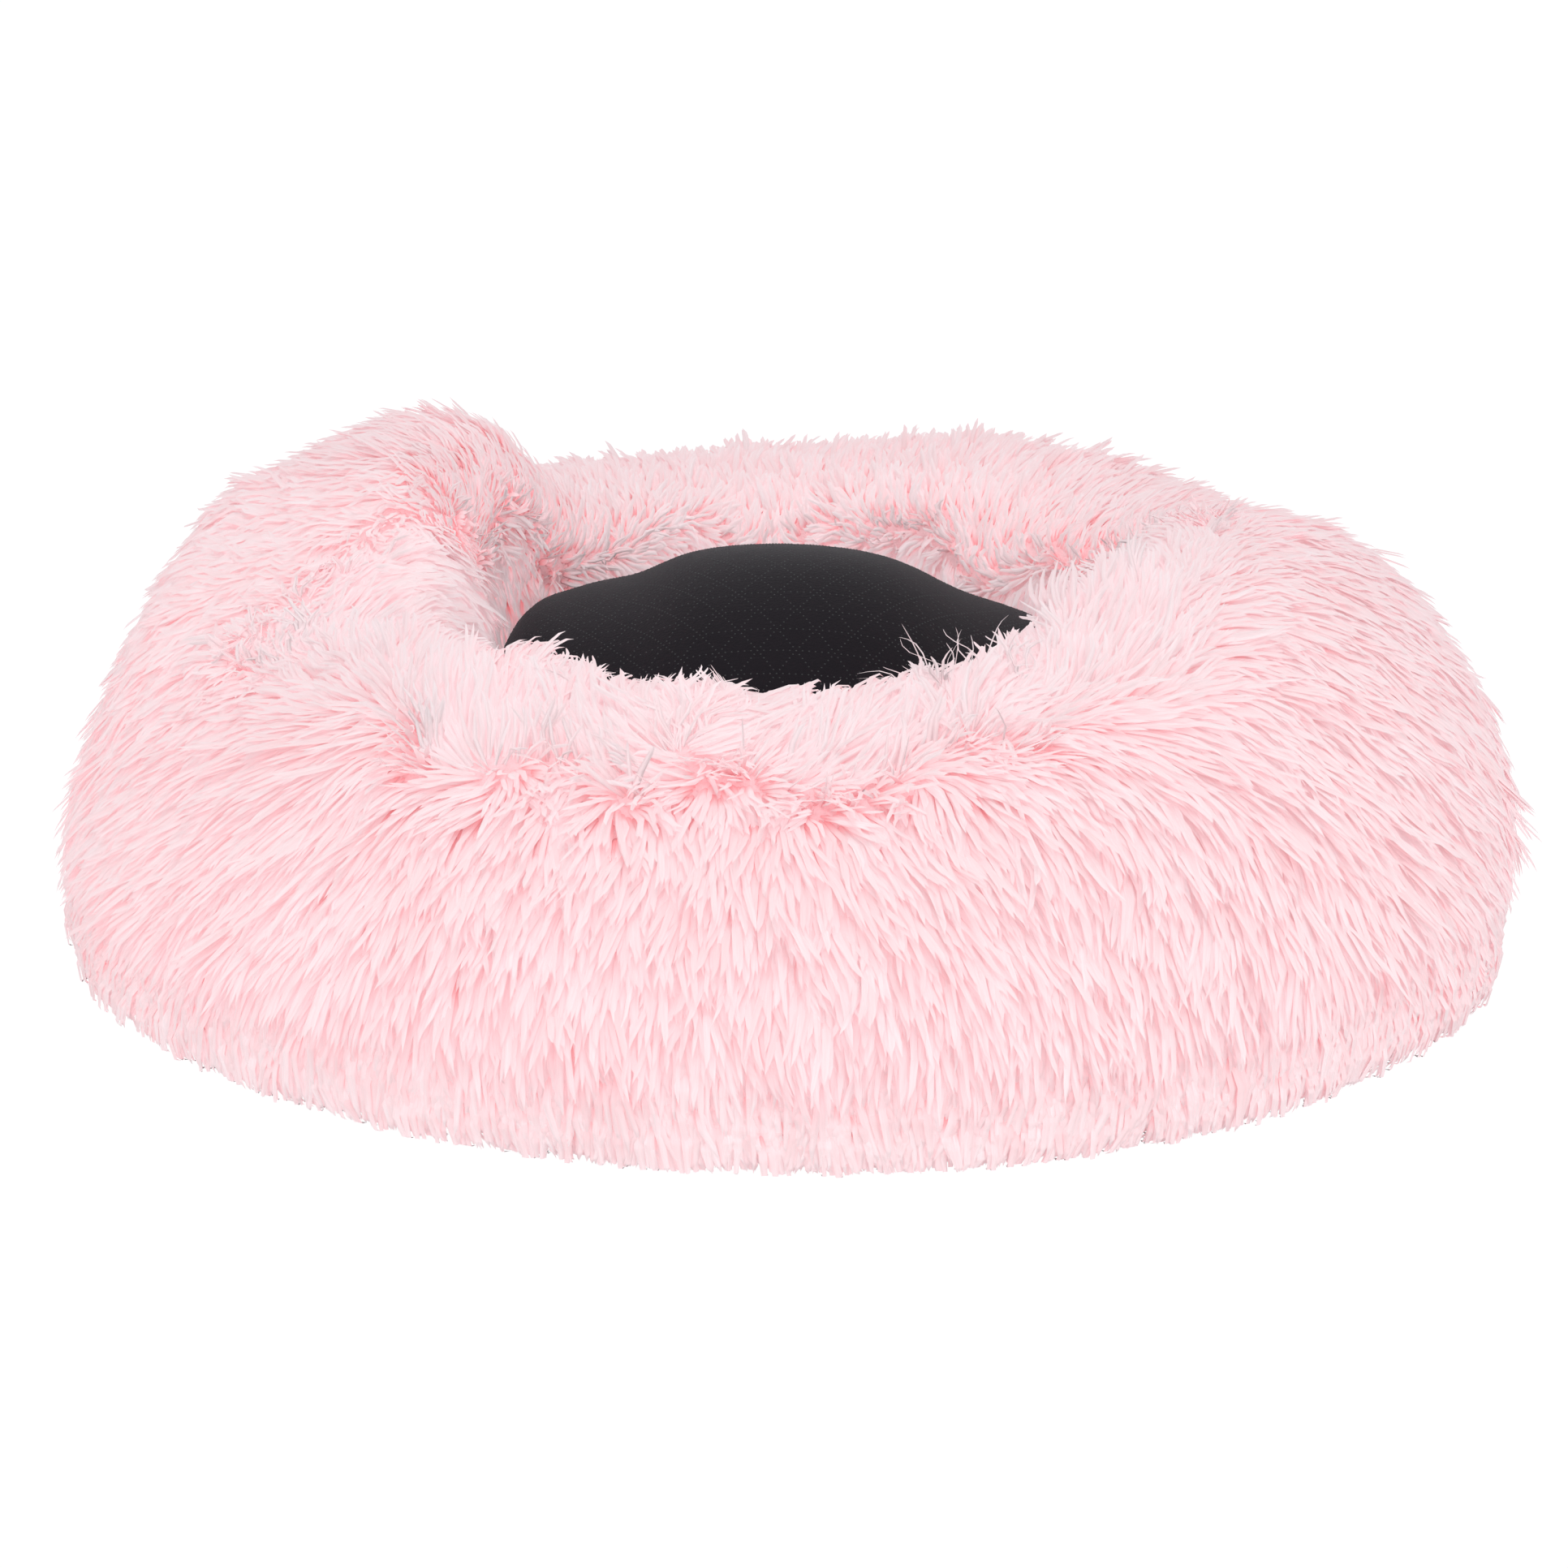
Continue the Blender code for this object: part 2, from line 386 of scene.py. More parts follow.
# ring: the same lines as the solid, drawn in by the depth of the pile. Bearings are in degrees, 0 at the
# front and 90 at the right
ring = {
    "radius": 0.250,
    "foot": 0.220,
    "footShare": 0.6,
    "footHeight": 0.003,
    "widest": 0.012,
    "crestRadius": 0.131,
    "crestHeight": 0.122,
    "lipRadius": 0.104,
    "lipHeight": 0.076,
    "wellRadius": 0.112,
    "wellFloor": 0.0186,
    "baseInset": 0.004,
    "swells": ((75, 0.27, 41), (154, 0.08, 18), (234, 0.21, 12), (258, 0.33, 20)),  # bearing, share, spread
    "humps": (  # bearing, from crest, reach, height
        (229, -0.058, 0.018, -0.008), (276, -0.040, 0.026, 0.012), (257, 0.062, 0.026, 0.0055),
        (268, 0.085, 0.024, 0.0045), (347, 0.008, 0.012, 0.0045), (320, 0.0, 0.012, 0.005),
        (238, 0.008, 0.030, 0.0035), (264, 0.036, 0.030, -0.0035), (95, 0.056, 0.035, 0.003),
        (88, 0.121, 0.035, 0.004), (68, 0.171, 0.030, 0.004), (296, 0.173, 0.030, 0.0025),
        (138, 0.034, 0.020, 0.003),
    ),
    "leanBearing": -14,
    "lean": 0.147,
    "pileDepth": 0.0085,
    "bottom": 0.0035,
    "bareBelow": 0.0046,
    "bearings": 180,
    "step": 0.0045,
    "outerSectors": 8,
    "innerSectors": 3,
}

# which way the pile lies. Distances from the crest are positive down the outer wall, negative into the well
comb = {
    "parting": (  # bearing, from crest
        (0, 0.034), (14, 0.040), (25, 0.037), (45, 0.030), (60, 0.024), (92, 0.0), (122, -0.025),
        (161, -0.023), (182, -0.024), (195, -0.018), (225, -0.028), (247, -0.034), (263, -0.020),
        (273, 0.012), (282, 0.044), (300, 0.034), (326, 0.043), (343, 0.044),
    ),
    "partingWidth": 0.010,
    "partingWaver": ((0.006, 9, 1), (0.004, 17, 0)),  # size, turns round the ring, phase
    "standing": (  # bearing, spread, width, lift
        (283, 18, 0.024, 0.15), (322, 6, 0.010, 0.35), (180, 60, 0.010, 0.12), (240, 24, 0.012, 0.1),
    ),
    "sweeps": (  # side, bearing, spread, amount
        ("inner", 36, 24, 1.5), ("inner", 358, 11, 0.9), ("inner", 325, 24, -0.8), ("outer", 30, 26, 0.35),
        ("outer", 330, 26, -0.12), ("inner", 238, 20, 0.4), ("wall", 336, 20, 0.24), ("wall", 26, 18, -0.12),
        ("over", 58, 30, 0.9), ("over", 303, 13, -0.8),
    ),
    "sweepReach": {"inner": 0.07, "outer": 0.05, "wall": 0.5, "over": 0.022},
    "wander": ((0.30, 4, 5, 9, 60), (0.16, 9, 5, 30, 160)),  # amount, then what waves takes
    "whorls": (  # bearing, from crest, reach, strength, turn
        (326.5, 0.044, 0.015, 1.2, 0.6), (343.5, 0.050, 0.012, 0.9, -0.9), (348.0, 0.024, 0.015, 1.3, 0.7),
        (14.5, 0.042, 0.012, 0.7, 1.1), (36.0, 0.030, 0.012, 0.7, -1.0), (346.5, 0.015, 0.013, 1.1, 0.3),
        (5.0, 0.024, 0.012, 0.9, -0.6), (23.0, 0.018, 0.012, 0.9, 0.8),
    ),
    "whorlEye": 0.004,
    "whorlLift": (0.4, 0.15),  # share of its reach, lift
    "whorlHeart": 0.5,  # share of its reach
    "ruffles": (  # bearing, from crest, reach, strength
        (281, 0.041, 0.038, 1.0), (262, -0.004, 0.024, 0.7), (240, -0.020, 0.026, 0.2),
        (340, 0.036, 0.022, 0.4), (2, 0.036, 0.020, 0.5), (22, 0.034, 0.020, 0.4), (347, 0.016, 0.018, 0.7),
        (330, 0.024, 0.018, 0.6), (8, 0.024, 0.015, 0.6), (25, 0.018, 0.018, 0.6), (90, 0.020, 0.050, 0.4),
        (62, 0.050, 0.050, 0.35), (296, 0.110, 0.060, 0.3), (268, 0.060, 0.060, 0.6),
    ),
    "ruffleSeed": 12,
    "lipSpread": 55,
    "lipSweep": 0.8,
    "lipWaves": (31, 5, 26, 130),
    "curls": 0.6,
    "curlReach": 0.015,
    "curlWaves": ((15, 7, 70, 420), (16, 7, 70, 420)),  # round the ring, down the wall
    "curlDown": 0.6,
    "curlyPatch": (283, 20, 0.028, 1.6),  # bearing, spread, width, amount
    "calm": (58, 30, 0.6),  # bearing, spread, share of the curls that it takes away
    "slackBelow": 0.5,  # where the directions cancel out, the pile stands up
    "slackLift": 0.2,
}

# where the pile lies flatter or steeper than the combing alone says
stance = {
    "sunkMargin": 0.012,  # the sunk part of the well starts this far above the lip
    "sunkDepth": 0.05,
    "sunkLift": 0.08,
    "footReach": 0.020,
    "tuck": 0.2,
    "looseSides": (26, 0.8),  # spread, share of the tuck that the two sides lose
    "flatSides": (30, 0.7, 0.12),  # spread, the left one's share, how much flatter
    "flatFrom": (0.045, 0.03),  # height, and the height over which it comes in
    "flare": (88, 24, 0.022, 0.018, 0.16),  # bearing, spread, height, reach, lift
}

pile = {
    "strandsPerM2": 300000,
    "locksPerM2": 56000,
    "width": 0.0022,
    "outerLength": 0.031,
    "innerLength": 0.023,
    "standingLength": 0.0145,
    "crestBlend": (0.03, 0.4),  # reach, share
    "backShorter": (45, 30, 0.38),  # from this bearing, over, share
    "roughShorter": 0.4,
    "partingShorter": (0.016, 0.38),  # reach, share
    "floorLength": 0.008,
    "floorSlope": 0.75,
    "clump": (0.55, 5, 70, 0.45),  # everywhere, then bearing, spread and amount of what is added
    "partingThin": (0.6, 0.03, 0.3),  # share of the parting's distance, reach, how much thinner
    "bend": (-0.8, 1.3),
    "pull": 0.52,
    "wave": 0.0011,
    "stray": 0.12,
    "lowest": 0.0006,
    "seed": 11,
}

# colour of the strands: tone goes from the deep colours to the pale ones, pale lifts the colour of the root
tint = {
    "tone": 0.55,
    "partingTone": (0.020, 0.10),  # reach, amount
    "innerTone": 0.22,
    # painted light: the next two make the pile deeper deep in the well and paler at the foot
    "sunkShadeTone": 0.1,
    "footLightTone": 0.08,
    "partingPale": (0.014, 0.1),
    "heartPale": 0.2,
    "innerPale": 0.3,
    # painted shade: the strands at the foot are drawn towards their deeper roots
    "footShade": 0.1,
    "sidePale": (36, 0.22),  # spread, amount
    "pocket": (231, 14, -0.058, 0.022),  # painted shade in the deep fold by the cushion: bearing, spread, from crest, reach
}


def turnFrom(bearing, centre):
    return (bearing - centre + 180) % 360 - 180


def hill(offset, reach):
    # 1 at no offset, and about a third at the reach
    return np.exp(-((offset / reach) ** 2))


def near(bearing, centre, spread):
    return hill(turnFrom(bearing, centre), spread)


def atSides(bearing, spread, leftShare=1.0):
    # the right side and the left one
    return near(bearing, 90, spread) + leftShare * near(bearing, 270, spread)


def offsetsFrom(cover, centre, place):
    # how far the cover's points lie round the ring and down the wall from a spot on it
    return np.radians(turnFrom(cover["bearing"], centre)) * cover["radius"], cover["gone"] - place


def swellAt(bearing):
    rise = np.zeros_like(bearing)
    for centre, share, spread in ring["swells"]:
        rise += ring["crestHeight"] * share * near(bearing, centre, spread)
    return rise


def settleRing(r, z, bearing):
    # the outer wall leans or bulges about the crest circle, and the rim rises
    outSpan, upSpan = ring["radius"] - ring["crestRadius"], ring["crestHeight"] - ring["widest"]
    out, up = (r - ring["crestRadius"]) / outSpan, (z - ring["widest"]) / upSpan
    lean = ring["lean"] * np.cos(np.radians(bearing - ring["leanBearing"]))
    fullness = np.where(out > 0, 1 - lean * np.sin(2 * np.arctan2(np.maximum(up, 0), out)), 1)
    raised = up > 0
    newR = np.where(raised, ring["crestRadius"] + out * fullness * outSpan, r)
    newZ = np.where(raised, ring["widest"] + up * fullness * (upSpan + swellAt(bearing)), z)
    return newR, newZ


def lengthsAlong(points):
    return np.concatenate([[0], np.cumsum(np.linalg.norm(np.diff(points, axis=0), axis=1))])


def evenly(points, step):
    # the line through the points, cut into even lengths
    points = np.array(points)
    gone = lengthsAlong(points)
    marks = np.linspace(0, gone[-1], max(2, round(gone[-1] / step)) + 1)
    return np.stack([np.interp(marks, gone, points[:, k]) for k in (0, 1)], 1), marks


def ringSection(depth):
    # the line from the well's floor over the crest to the foot and back under the ring, and how far each of
    # its points is from the crest
    turn = np.linspace(0, math.pi / 2, 60)
    c = ring
    wall = np.stack([c["crestRadius"] + (c["radius"] - c["crestRadius"] - depth) * np.cos(turn),
                     c["widest"] + (c["crestHeight"] - c["widest"] - depth) * np.sin(turn)], 1)[::-1]
    foot = [(c["foot"] + c["footShare"] * (c["radius"] - c["foot"]) - depth, c["bottom"] + c["footHeight"]),
            (c["foot"] - depth, c["bottom"])]
    overhang = np.stack([c["crestRadius"] - (c["crestRadius"] - c["lipRadius"] - depth) * np.sin(turn),
                         c["lipHeight"] + (c["crestHeight"] - c["lipHeight"] - depth) * np.cos(turn)], 1)
    wellSide = np.stack([c["lipRadius"] + (c["wellRadius"] - c["lipRadius"]) * (1 - np.cos(turn)) + depth,
                         c["wellFloor"] + (c["lipHeight"] - c["wellFloor"]) * (1 - np.sin(turn))], 1)
    outer, outerGone = evenly(np.concatenate([wall, foot]), c["step"])
    inner, innerGone = evenly(np.concatenate([overhang, wellSide[1:]]), c["step"])
    under, _ = evenly([inner[-1], (inner[-1][0] + c["baseInset"], c["bottom"]), outer[-1]], 2 * c["step"])
    line = np.concatenate([inner[::-1], outer[1:], under[1:-1][::-1]])
    gone = np.concatenate([-innerGone[::-1], outerGone[1:], np.full(len(under) - 2, np.nan)])
    return line, gone


def waves(bearing, gone, seed, count, bearingRate, lengthRate):
    # a smooth value that wanders over the ring, mostly between -1 and 1
    draw = np.random.default_rng(seed)
    total = np.zeros(np.broadcast(bearing, gone).shape)
    for _ in range(count):
        turns = draw.integers(1, bearingRate + 1)
        total += np.sin(np.radians(bearing) * turns + gone * draw.uniform(-lengthRate, lengthRate)
                        + draw.uniform(0, 2 * math.pi)) / count
    return total * 1.6


def downRing(points):
    # the direction up the well's wall, over the crest and down the outer wall
    down = np.gradient(points, axis=0)
    return down / np.linalg.norm(down, axis=-1, keepdims=True)


def ringCoverForm():
    # every value of the cover has a row for each point of the section and a column for each bearing
    line, gone = ringSection(ring["pileDepth"])
    bearing = np.arange(ring["bearings"]) * 360 / ring["bearings"]
    radius, height = settleRing(line[:, :1], line[:, 1:], bearing[None, :])
    ones = np.ones_like(radius)
    turned = np.radians(bearing)[None, :]
    points = np.stack([radius * np.sin(turned), -radius * np.cos(turned), height], -1)
    along = np.stack([np.cos(turned), np.sin(turned), turned * 0], -1) * ones[..., None]
    outwards = np.cross(downRing(points), along)
    cover = {"gone": np.where(np.isnan(gone), 1.0, gone)[:, None] * ones, "isBase": np.isnan(gone),
             "bearing": bearing[None, :] * ones, "turned": turned, "radius": radius, "along": along}
    for centre, place, reach, rise in ring["humps"]:
        away = np.hypot(*offsetsFrom(cover, centre, place))
        points += outwards * (rise * hill(away, reach))[..., None]

    parting = np.interp(bearing, *np.array(comb["parting"]).T, period=360)
    for size, turns, phase in comb["partingWaver"]:
        parting = parting + size * np.sin(np.radians(bearing) * turns + phase)
    past = cover["gone"] - parting[None, :]
    side = np.tanh(past / comb["partingWidth"])
    outer = cover["gone"] > 0
    sunk = np.clip((ring["lipHeight"] + stance["sunkMargin"] - points[..., 2]) / stance["sunkDepth"], 0, 1)
    return cover | {
        "points": points, "height": points[..., 2], "down": downRing(points),
        "parting": parting, "past": past, "side": side, "inwards": np.clip(-side, 0, 1),
        "outer": outer, "atFoot": hill(points[..., 2], stance["footReach"]) * outer,
        "sunk": sunk * (cover["gone"] < 0),
    }


def combCover(cover):
    # which way the pile lies, and how far it stands up where it parts or turns
    bearing, gone, past, side = (cover[name] for name in ("bearing", "gone", "past", "side"))
    along, down = cover["along"], cover["down"]
    sweep = sum(amount * waves(bearing, gone, *rule) for amount, *rule in comb["wander"])
    for where, centre, spread, amount in comb["sweeps"]:
        share = {"inner": cover["inwards"], "over": 1.0}.get(where, np.clip(side, 0, 1))
        sweep += amount * share * hill(past, comb["sweepReach"][where]) * near(bearing, centre, spread)
    frontLip = cover["inwards"] * near(bearing, 0, comb["lipSpread"])
    sweep += comb["lipSweep"] * frontLip * waves(bearing, gone, *comb["lipWaves"])
    centre, spread, width, curliness = comb["curlyPatch"]
    patch = near(bearing, centre, spread) * hill(past, width)
    centre, spread, share = comb["calm"]
    curl = comb["curls"] * (1 - share * near(bearing, centre, spread)) * hill(past, comb["curlReach"])
    curl = curl + curliness * patch
    roundWaves, downWaves = (waves(bearing, gone, *rule) for rule in comb["curlWaves"])
    sweep += curl * roundWaves
    flow = down * (side + comb["curlDown"] * curl * downWaves)[..., None] + along * sweep[..., None]

    ruffle = np.zeros_like(past)
    for centre, place, reach, strength in comb["ruffles"]:
        away = np.hypot(*offsetsFrom(cover, centre, place))
        ruffle = np.maximum(ruffle, strength * hill(away, reach))
    unruly = np.random.default_rng(comb["ruffleSeed"]).uniform(-1, 1, (2, *past.shape))
    flow += (ruffle * unruly[0])[..., None] * along + (ruffle * unruly[1])[..., None] * down

    lift, heart = np.zeros_like(past), np.zeros_like(past)
    for centre, spread, width, amount in comb["standing"]:
        lift = np.maximum(lift, amount * near(bearing, centre, spread) * hill(past, width))
    eyeShare, eyeLift = comb["whorlLift"]
    for centre, place, reach, strength, turn in comb["whorls"]:
        across, onward = offsetsFrom(cover, centre, place)
        distance = np.hypot(across, onward) + 1e-6
        share = strength * hill(distance, reach) * np.minimum(1, distance / comb["whorlEye"])
        c, s = math.cos(turn), math.sin(turn)
        flow += (share * (across * c - onward * s) / distance)[..., None] * along
        flow += (share * (across * s + onward * c) / distance)[..., None] * down
        lift = np.maximum(lift, eyeLift * hill(distance, eyeShare * reach))
        heart = np.maximum(heart, hill(distance, comb["whorlHeart"] * reach))
    size = np.linalg.norm(flow, axis=-1)
    flow /= np.maximum(size, 1)[..., None]
    lift = np.maximum(lift, comb["slackLift"] * np.clip(1 - size / comb["slackBelow"], 0, 1))
    return {"flow": flow, "lift": lift, "heart": heart, "patch": patch, "ruffle": ruffle}


def strandLengths(cover, combed):
    length = np.where(cover["outer"], pile["outerLength"], pile["innerLength"])
    reach, share = pile["crestBlend"]
    shorter = pile["innerLength"] - pile["outerLength"]
    length = length + shorter * np.exp(-np.abs(cover["gone"]) / reach) * cover["outer"] * share
    start, over, share = pile["backShorter"]
    length = length * (1 - share * np.clip((np.abs(turnFrom(cover["bearing"], 0)) - start) / over, 0, 1))
    length = length * (1 - pile["roughShorter"] * np.maximum(combed["patch"], combed["ruffle"]))
    reach, share = pile["partingShorter"]
    length = length * (1 - share * hill(cover["past"], reach))
    length = length + (pile["standingLength"] - length) * np.clip(combed["lift"], 0, 1)
    # shorter where it meets the floor, and the floor of the well
    toFloor = np.where(cover["outer"], cover["height"], cover["height"] - ring["wellFloor"])
    return np.minimum(length, pile["floorLength"] + pile["floorSlope"] * np.maximum(toFloor, 0))


def strandLift(cover, combed):
    # tucked in under the wall at the floor, flatter high on the sides, and flared low on the right
    bearing, height, outer = cover["bearing"], cover["height"], cover["outer"]
    spread, share = stance["looseSides"]
    tuck = stance["tuck"] * cover["atFoot"] * (1 - share * atSides(bearing, spread))
    spread, leftShare, flatter = stance["flatSides"]
    start, over = stance["flatFrom"]
    flat = flatter * atSides(bearing, spread, leftShare) * np.clip((height - start) / over, 0, 1) * outer
    centre, spread, level, reach, rise = stance["flare"]
    flare = rise * near(bearing, centre, spread) * hill(height - level, reach) * outer
    return combed["lift"] + stance["sunkLift"] * cover["sunk"] - tuck - flat + flare


def strandTone(cover):
    # painted light: in the well the light comes back from pink on every side, so the pile is painted deeper
    # there; at the foot it is painted paler against the floor's shade
    reach, amount = tint["partingTone"]
    tone = tint["tone"] + amount * hill(cover["past"], reach) + tint["innerTone"] * cover["inwards"]
    return tone - tint["sunkShadeTone"] * cover["sunk"] + tint["footLightTone"] * cover["atFoot"]


def strandPale(cover, combed):
    bearing, sunk = cover["bearing"], cover["sunk"]
    reach, amount = tint["partingPale"]
    pale = amount * hill(cover["past"], reach) + tint["heartPale"] * combed["heart"]
    # painted shade: deep in the well and at the foot the strands keep more of their deeper root colour
    pale = pale + tint["innerPale"] * cover["inwards"] * (1 - sunk) - tint["footShade"] * cover["atFoot"]
    spread, amount = tint["sidePale"]
    # painted shade: in the deep fold the strands take their root colour all along
    centre, turn, place, reach = tint["pocket"]
    pocket = near(bearing, centre, turn) * hill(cover["gone"] - place, reach)
    return pale + amount * atSides(bearing, spread) * cover["outer"] - pocket


def strandFall(cover, flow, length):
    # how far a strand has to bend to stay on the surface
    down, along, turned = cover["down"], cover["along"], cover["turned"]
    outwards = np.cross(down, along)
    hoop = outwards[..., 0] * np.sin(turned) - outwards[..., 1] * np.cos(turned)
    turning = -np.sum(np.gradient(down, axis=0) * outwards, axis=-1)
    walls = ~cover["isBase"]
    gone = cover["gone"][walls, 0]
    downShare = np.sum(flow * down, -1)
    fall = length * hoop / cover["radius"] * np.sum(flow * along, -1) ** 2
    for k in range(ring["bearings"]):
        turnedBy = np.cumsum(turning[walls, k])
        ahead = np.interp(gone + length[walls, k] * downShare[walls, k], gone, turnedBy)
        fall[walls, k] += downShare[walls, k] * (ahead - turnedBy)
    return np.clip(fall, *pile["bend"])


def coverZones(cover):
    # which piece each face's strands belong to: the outer sectors, the inner ones, or none (-1)
    isBase, gone = cover["isBase"], cover["gone"][:, 0]
    rowIsBase, rowIsOuter = isBase | np.roll(isBase, -1), np.roll(gone, -1) > 1e-9
    faceBearing = (cover["bearing"][0] + 180 / ring["bearings"]) % 360
    outer = (faceBearing * ring["outerSectors"] / 360).astype(int)
    inner = ring["outerSectors"] + (faceBearing * ring["innerSectors"] / 360).astype(int)
    zone = np.where(rowIsOuter[:, None], outer, inner)
    turnedUnder = (cover["height"] < ring["bareBelow"]) & cover["outer"]
    zone[rowIsBase[:, None] | turnedUnder] = -1
    return zone


def makeRingCarrier():
    # the cover under the pile, which carries what each strand needs to know
    cover = ringCoverForm()
    combed = combCover(cover)
    flow = combed["flow"]
    length = strandLengths(cover, combed)
    everywhere, centre, spread, added = pile["clump"]
    clump = everywhere + added * near(cover["bearing"], centre, spread)
    share, reach, thinner = pile["partingThin"]
    thin = 1 - thinner * hill(cover["gone"] - share * cover["parting"], reach)

    rows, columns = cover["radius"].shape
    mesh = bpy.data.meshes.new("ringCover")
    index = np.arange(rows * columns).reshape(rows, columns)
    below = np.roll(index, -1, axis=0)
    quads = np.stack([index, below, np.roll(below, -1, axis=1), np.roll(index, -1, axis=1)], -1)
    mesh.from_pydata(cover["points"].reshape(-1, 3).tolist(), [], quads.reshape(-1, 4).tolist())
    mesh.update()
    faceOutwards(mesh)
    keepValues(mesh, {
        "comb": flow, "down": cover["down"], "bearing": cover["bearing"], "gone": cover["gone"],
        "lift": strandLift(cover, combed), "length": length, "fall": strandFall(cover, flow, length),
        "clump": clump, "thin": thin, "ruffle": combed["ruffle"], "tone": strandTone(cover),
        "pale": strandPale(cover, combed),
    })
    keepValues(mesh, {"zone": coverZones(cover)}, "FACE")
    mesh.shade_smooth()
    return mesh


# one strand, and how far strands and locks differ from each other
strand = {
    "sides": 3,
    "joints": 3,
    "lockSeed": 7,
    "lockLift": (-0.6, 0.22),  # only what is above 0 counts
    "rootRise": 0.34,
    "rootLift": 0.6,
    "rootFlat": 0.9,
    "rootStray": 0.8,
    "tipRise": 0.10,
    "lockStray": 2.0,
    "sideStray": 0.05,
    "reach": (0.78, 1.16),
    "lockReach": (0.84, 1.14),
    "width": (0.34, 0.62),
    "shade": (-0.20, 0.20),
    "lockShade": (-0.24, 0.24),
    "shadeEnds": (0.015, 0.985),
    "phase": (-0.5, 0.5),
    "lockPhase": (0.0, 6.28),
    "lockWave": (0.4, 1.5),
    "ruffledWave": 1.6,
    "waveTurn": 5.2,
    "crowding": 1.8,  # of the joints towards the tip, which is blunt
    "pullGrowth": 1.3,
    "taper": 2.0,
    "breadth": 1.1,
    "thickness": 0.35,
    "clearance": 0.3,
    "underBelow": -0.3,
    "underShade": 0.3,
    "underDepth": 0.5,
    "edgeShade": 0.012,
    "lowestFacing": (-1.0, -1.0, 0.2),
    "skyward": (0.0, 0.0, 0.45),
    "roundness": 0.55,
}


def rootPoints(desk, given):
    # the roots of the strands, each with its directions at root and tip, its sizes and its shade
    c = strand

    def draw(low, high, salt, group=None):
        # a random value for each strand, or for each lock; the salt tells one draw from another
        kind = "FLOAT_VECTOR" if isinstance(low, tuple) else "FLOAT"
        sockets = {"Min": low, "Max": high, "Seed": given["Seed"] + salt}
        if group is not None:
            sockets["ID"] = group
        return desk.wire("FunctionNodeRandomValue", {"data_type": kind}, sockets)

    here = desk.wire("GeometryNodeInputPosition")
    inZone = desk.wire("FunctionNodeCompare", {"data_type": "INT", "operation": "EQUAL"},
                       {"A": desk.named("zone", "INT"), "B": given["Zone"]})
    roots = desk.node("GeometryNodeDistributePointsOnFaces", {"distribute_method": "RANDOM"},
                      {"Mesh": given["Geometry"], "Selection": inZone, "Density": given["Strands per m2"],
                       "Seed": given["Seed"]})
    locks = desk.wire("GeometryNodeDistributePointsOnFaces", {"distribute_method": "RANDOM"},
                      {"Mesh": given["Geometry"], "Density": given["Locks per m2"], "Seed": c["lockSeed"]})
    lock = desk.wire("GeometryNodeSampleNearest", {"domain": "POINT"},
                     {"Geometry": locks, "Sample Position": here})
    lockPlace = desk.wire("GeometryNodeSampleIndex", {"data_type": "FLOAT_VECTOR", "domain": "POINT"},
                          {"Geometry": locks, "Value": here, "Index": lock})

    normal, combed = Wire(desk, roots.outputs["Normal"]), desk.named("comb", "FLOAT_VECTOR")
    flat = combed - normal * desk.vector("DOT_PRODUCT", combed, normal, out="Value")
    lift = desk.named("lift") + desk.math("MAXIMUM", draw(*c["lockLift"], 12, lock), 0.0)
    lean = 1 - lift
    anyWay = ((-1.0, -1.0, -1.0), (1.0, 1.0, 1.0))
    stray = draw(*anyWay, 1) * given["Spread"]
    side = desk.vector("CROSS_PRODUCT", normal, flat + stray * c["sideStray"])
    lockStray = draw(*anyWay, 2, lock) * (given["Spread"] * c["lockStray"])
    first = normal * (c["rootRise"] + lift * c["rootLift"]) + flat * (lean * c["rootFlat"])
    last = flat * lean + normal * (c["tipRise"] + lift - desk.named("fall"))
    shade = desk.named("tone") + draw(*c["shade"], 5) + draw(*c["lockShade"], 6, lock)
    darkest, palest = c["shadeEnds"]
    ruffled = desk.named("ruffle") * c["ruffledWave"] + 1

    points = Wire(desk, roots.outputs["Points"])
    for name, value in {
        "root": here,
        "first": desk.vector("NORMALIZE", first + stray * c["rootStray"]),
        "last": desk.vector("NORMALIZE", last + stray + lockStray),
        "side": desk.vector("NORMALIZE", side),
        "normal": normal,
        "toLock": (lockPlace - here) * (given["Lock Pull"] * desk.named("clump")),
        "reach": desk.named("length") * draw(*c["reach"], 3) * draw(*c["lockReach"], 4, lock),
        "width": given["Strand Width"] * desk.named("thin") * draw(*c["width"], 8),
        "shade": desk.math("MAXIMUM", desk.math("MINIMUM", shade, palest), darkest),
        "pale": desk.named("pale"),
        "phase": draw(*c["lockPhase"], 9, lock) + draw(*c["phase"], 10),
        "wave": given["Wave"] * draw(*c["lockWave"], 11, lock) * ruffled,
    }.items():
        points = desk.keep(points, "pile." + name, value)
    return points


def pointedStick(desk, given):
    # the straight form of a strand, split along the edges where its underside starts
    cone = desk.wire("GeometryNodeMeshCone", {"fill_type": "NONE"},
                     {"Vertices": given["Sides"], "Side Segments": given["Joints"], "Radius Top": 0.0,
                      "Radius Bottom": 1.0, "Depth": 1.0}, "Mesh")
    stick = desk.keep(cone, "pile.strand", desk.wire("GeometryNodeInputPosition"))
    facing = desk.vector("DOT_PRODUCT", desk.wire("GeometryNodeInputNormal"), (1.0, 0.0, 0.0), out="Value")
    under = desk.math("LESS_THAN", facing, strand["underBelow"])
    stick = desk.keep(stick, "pile.under", under, domain="FACE")
    offHalf = desk.math("ABSOLUTE", desk.named("pile.under") - 0.5)  # 0 on an edge between the two kinds
    onBorder = desk.math("LESS_THAN", offHalf, 0.3)
    return desk.wire("GeometryNodeSplitEdges", {}, {"Mesh": stick, "Selection": onBorder})


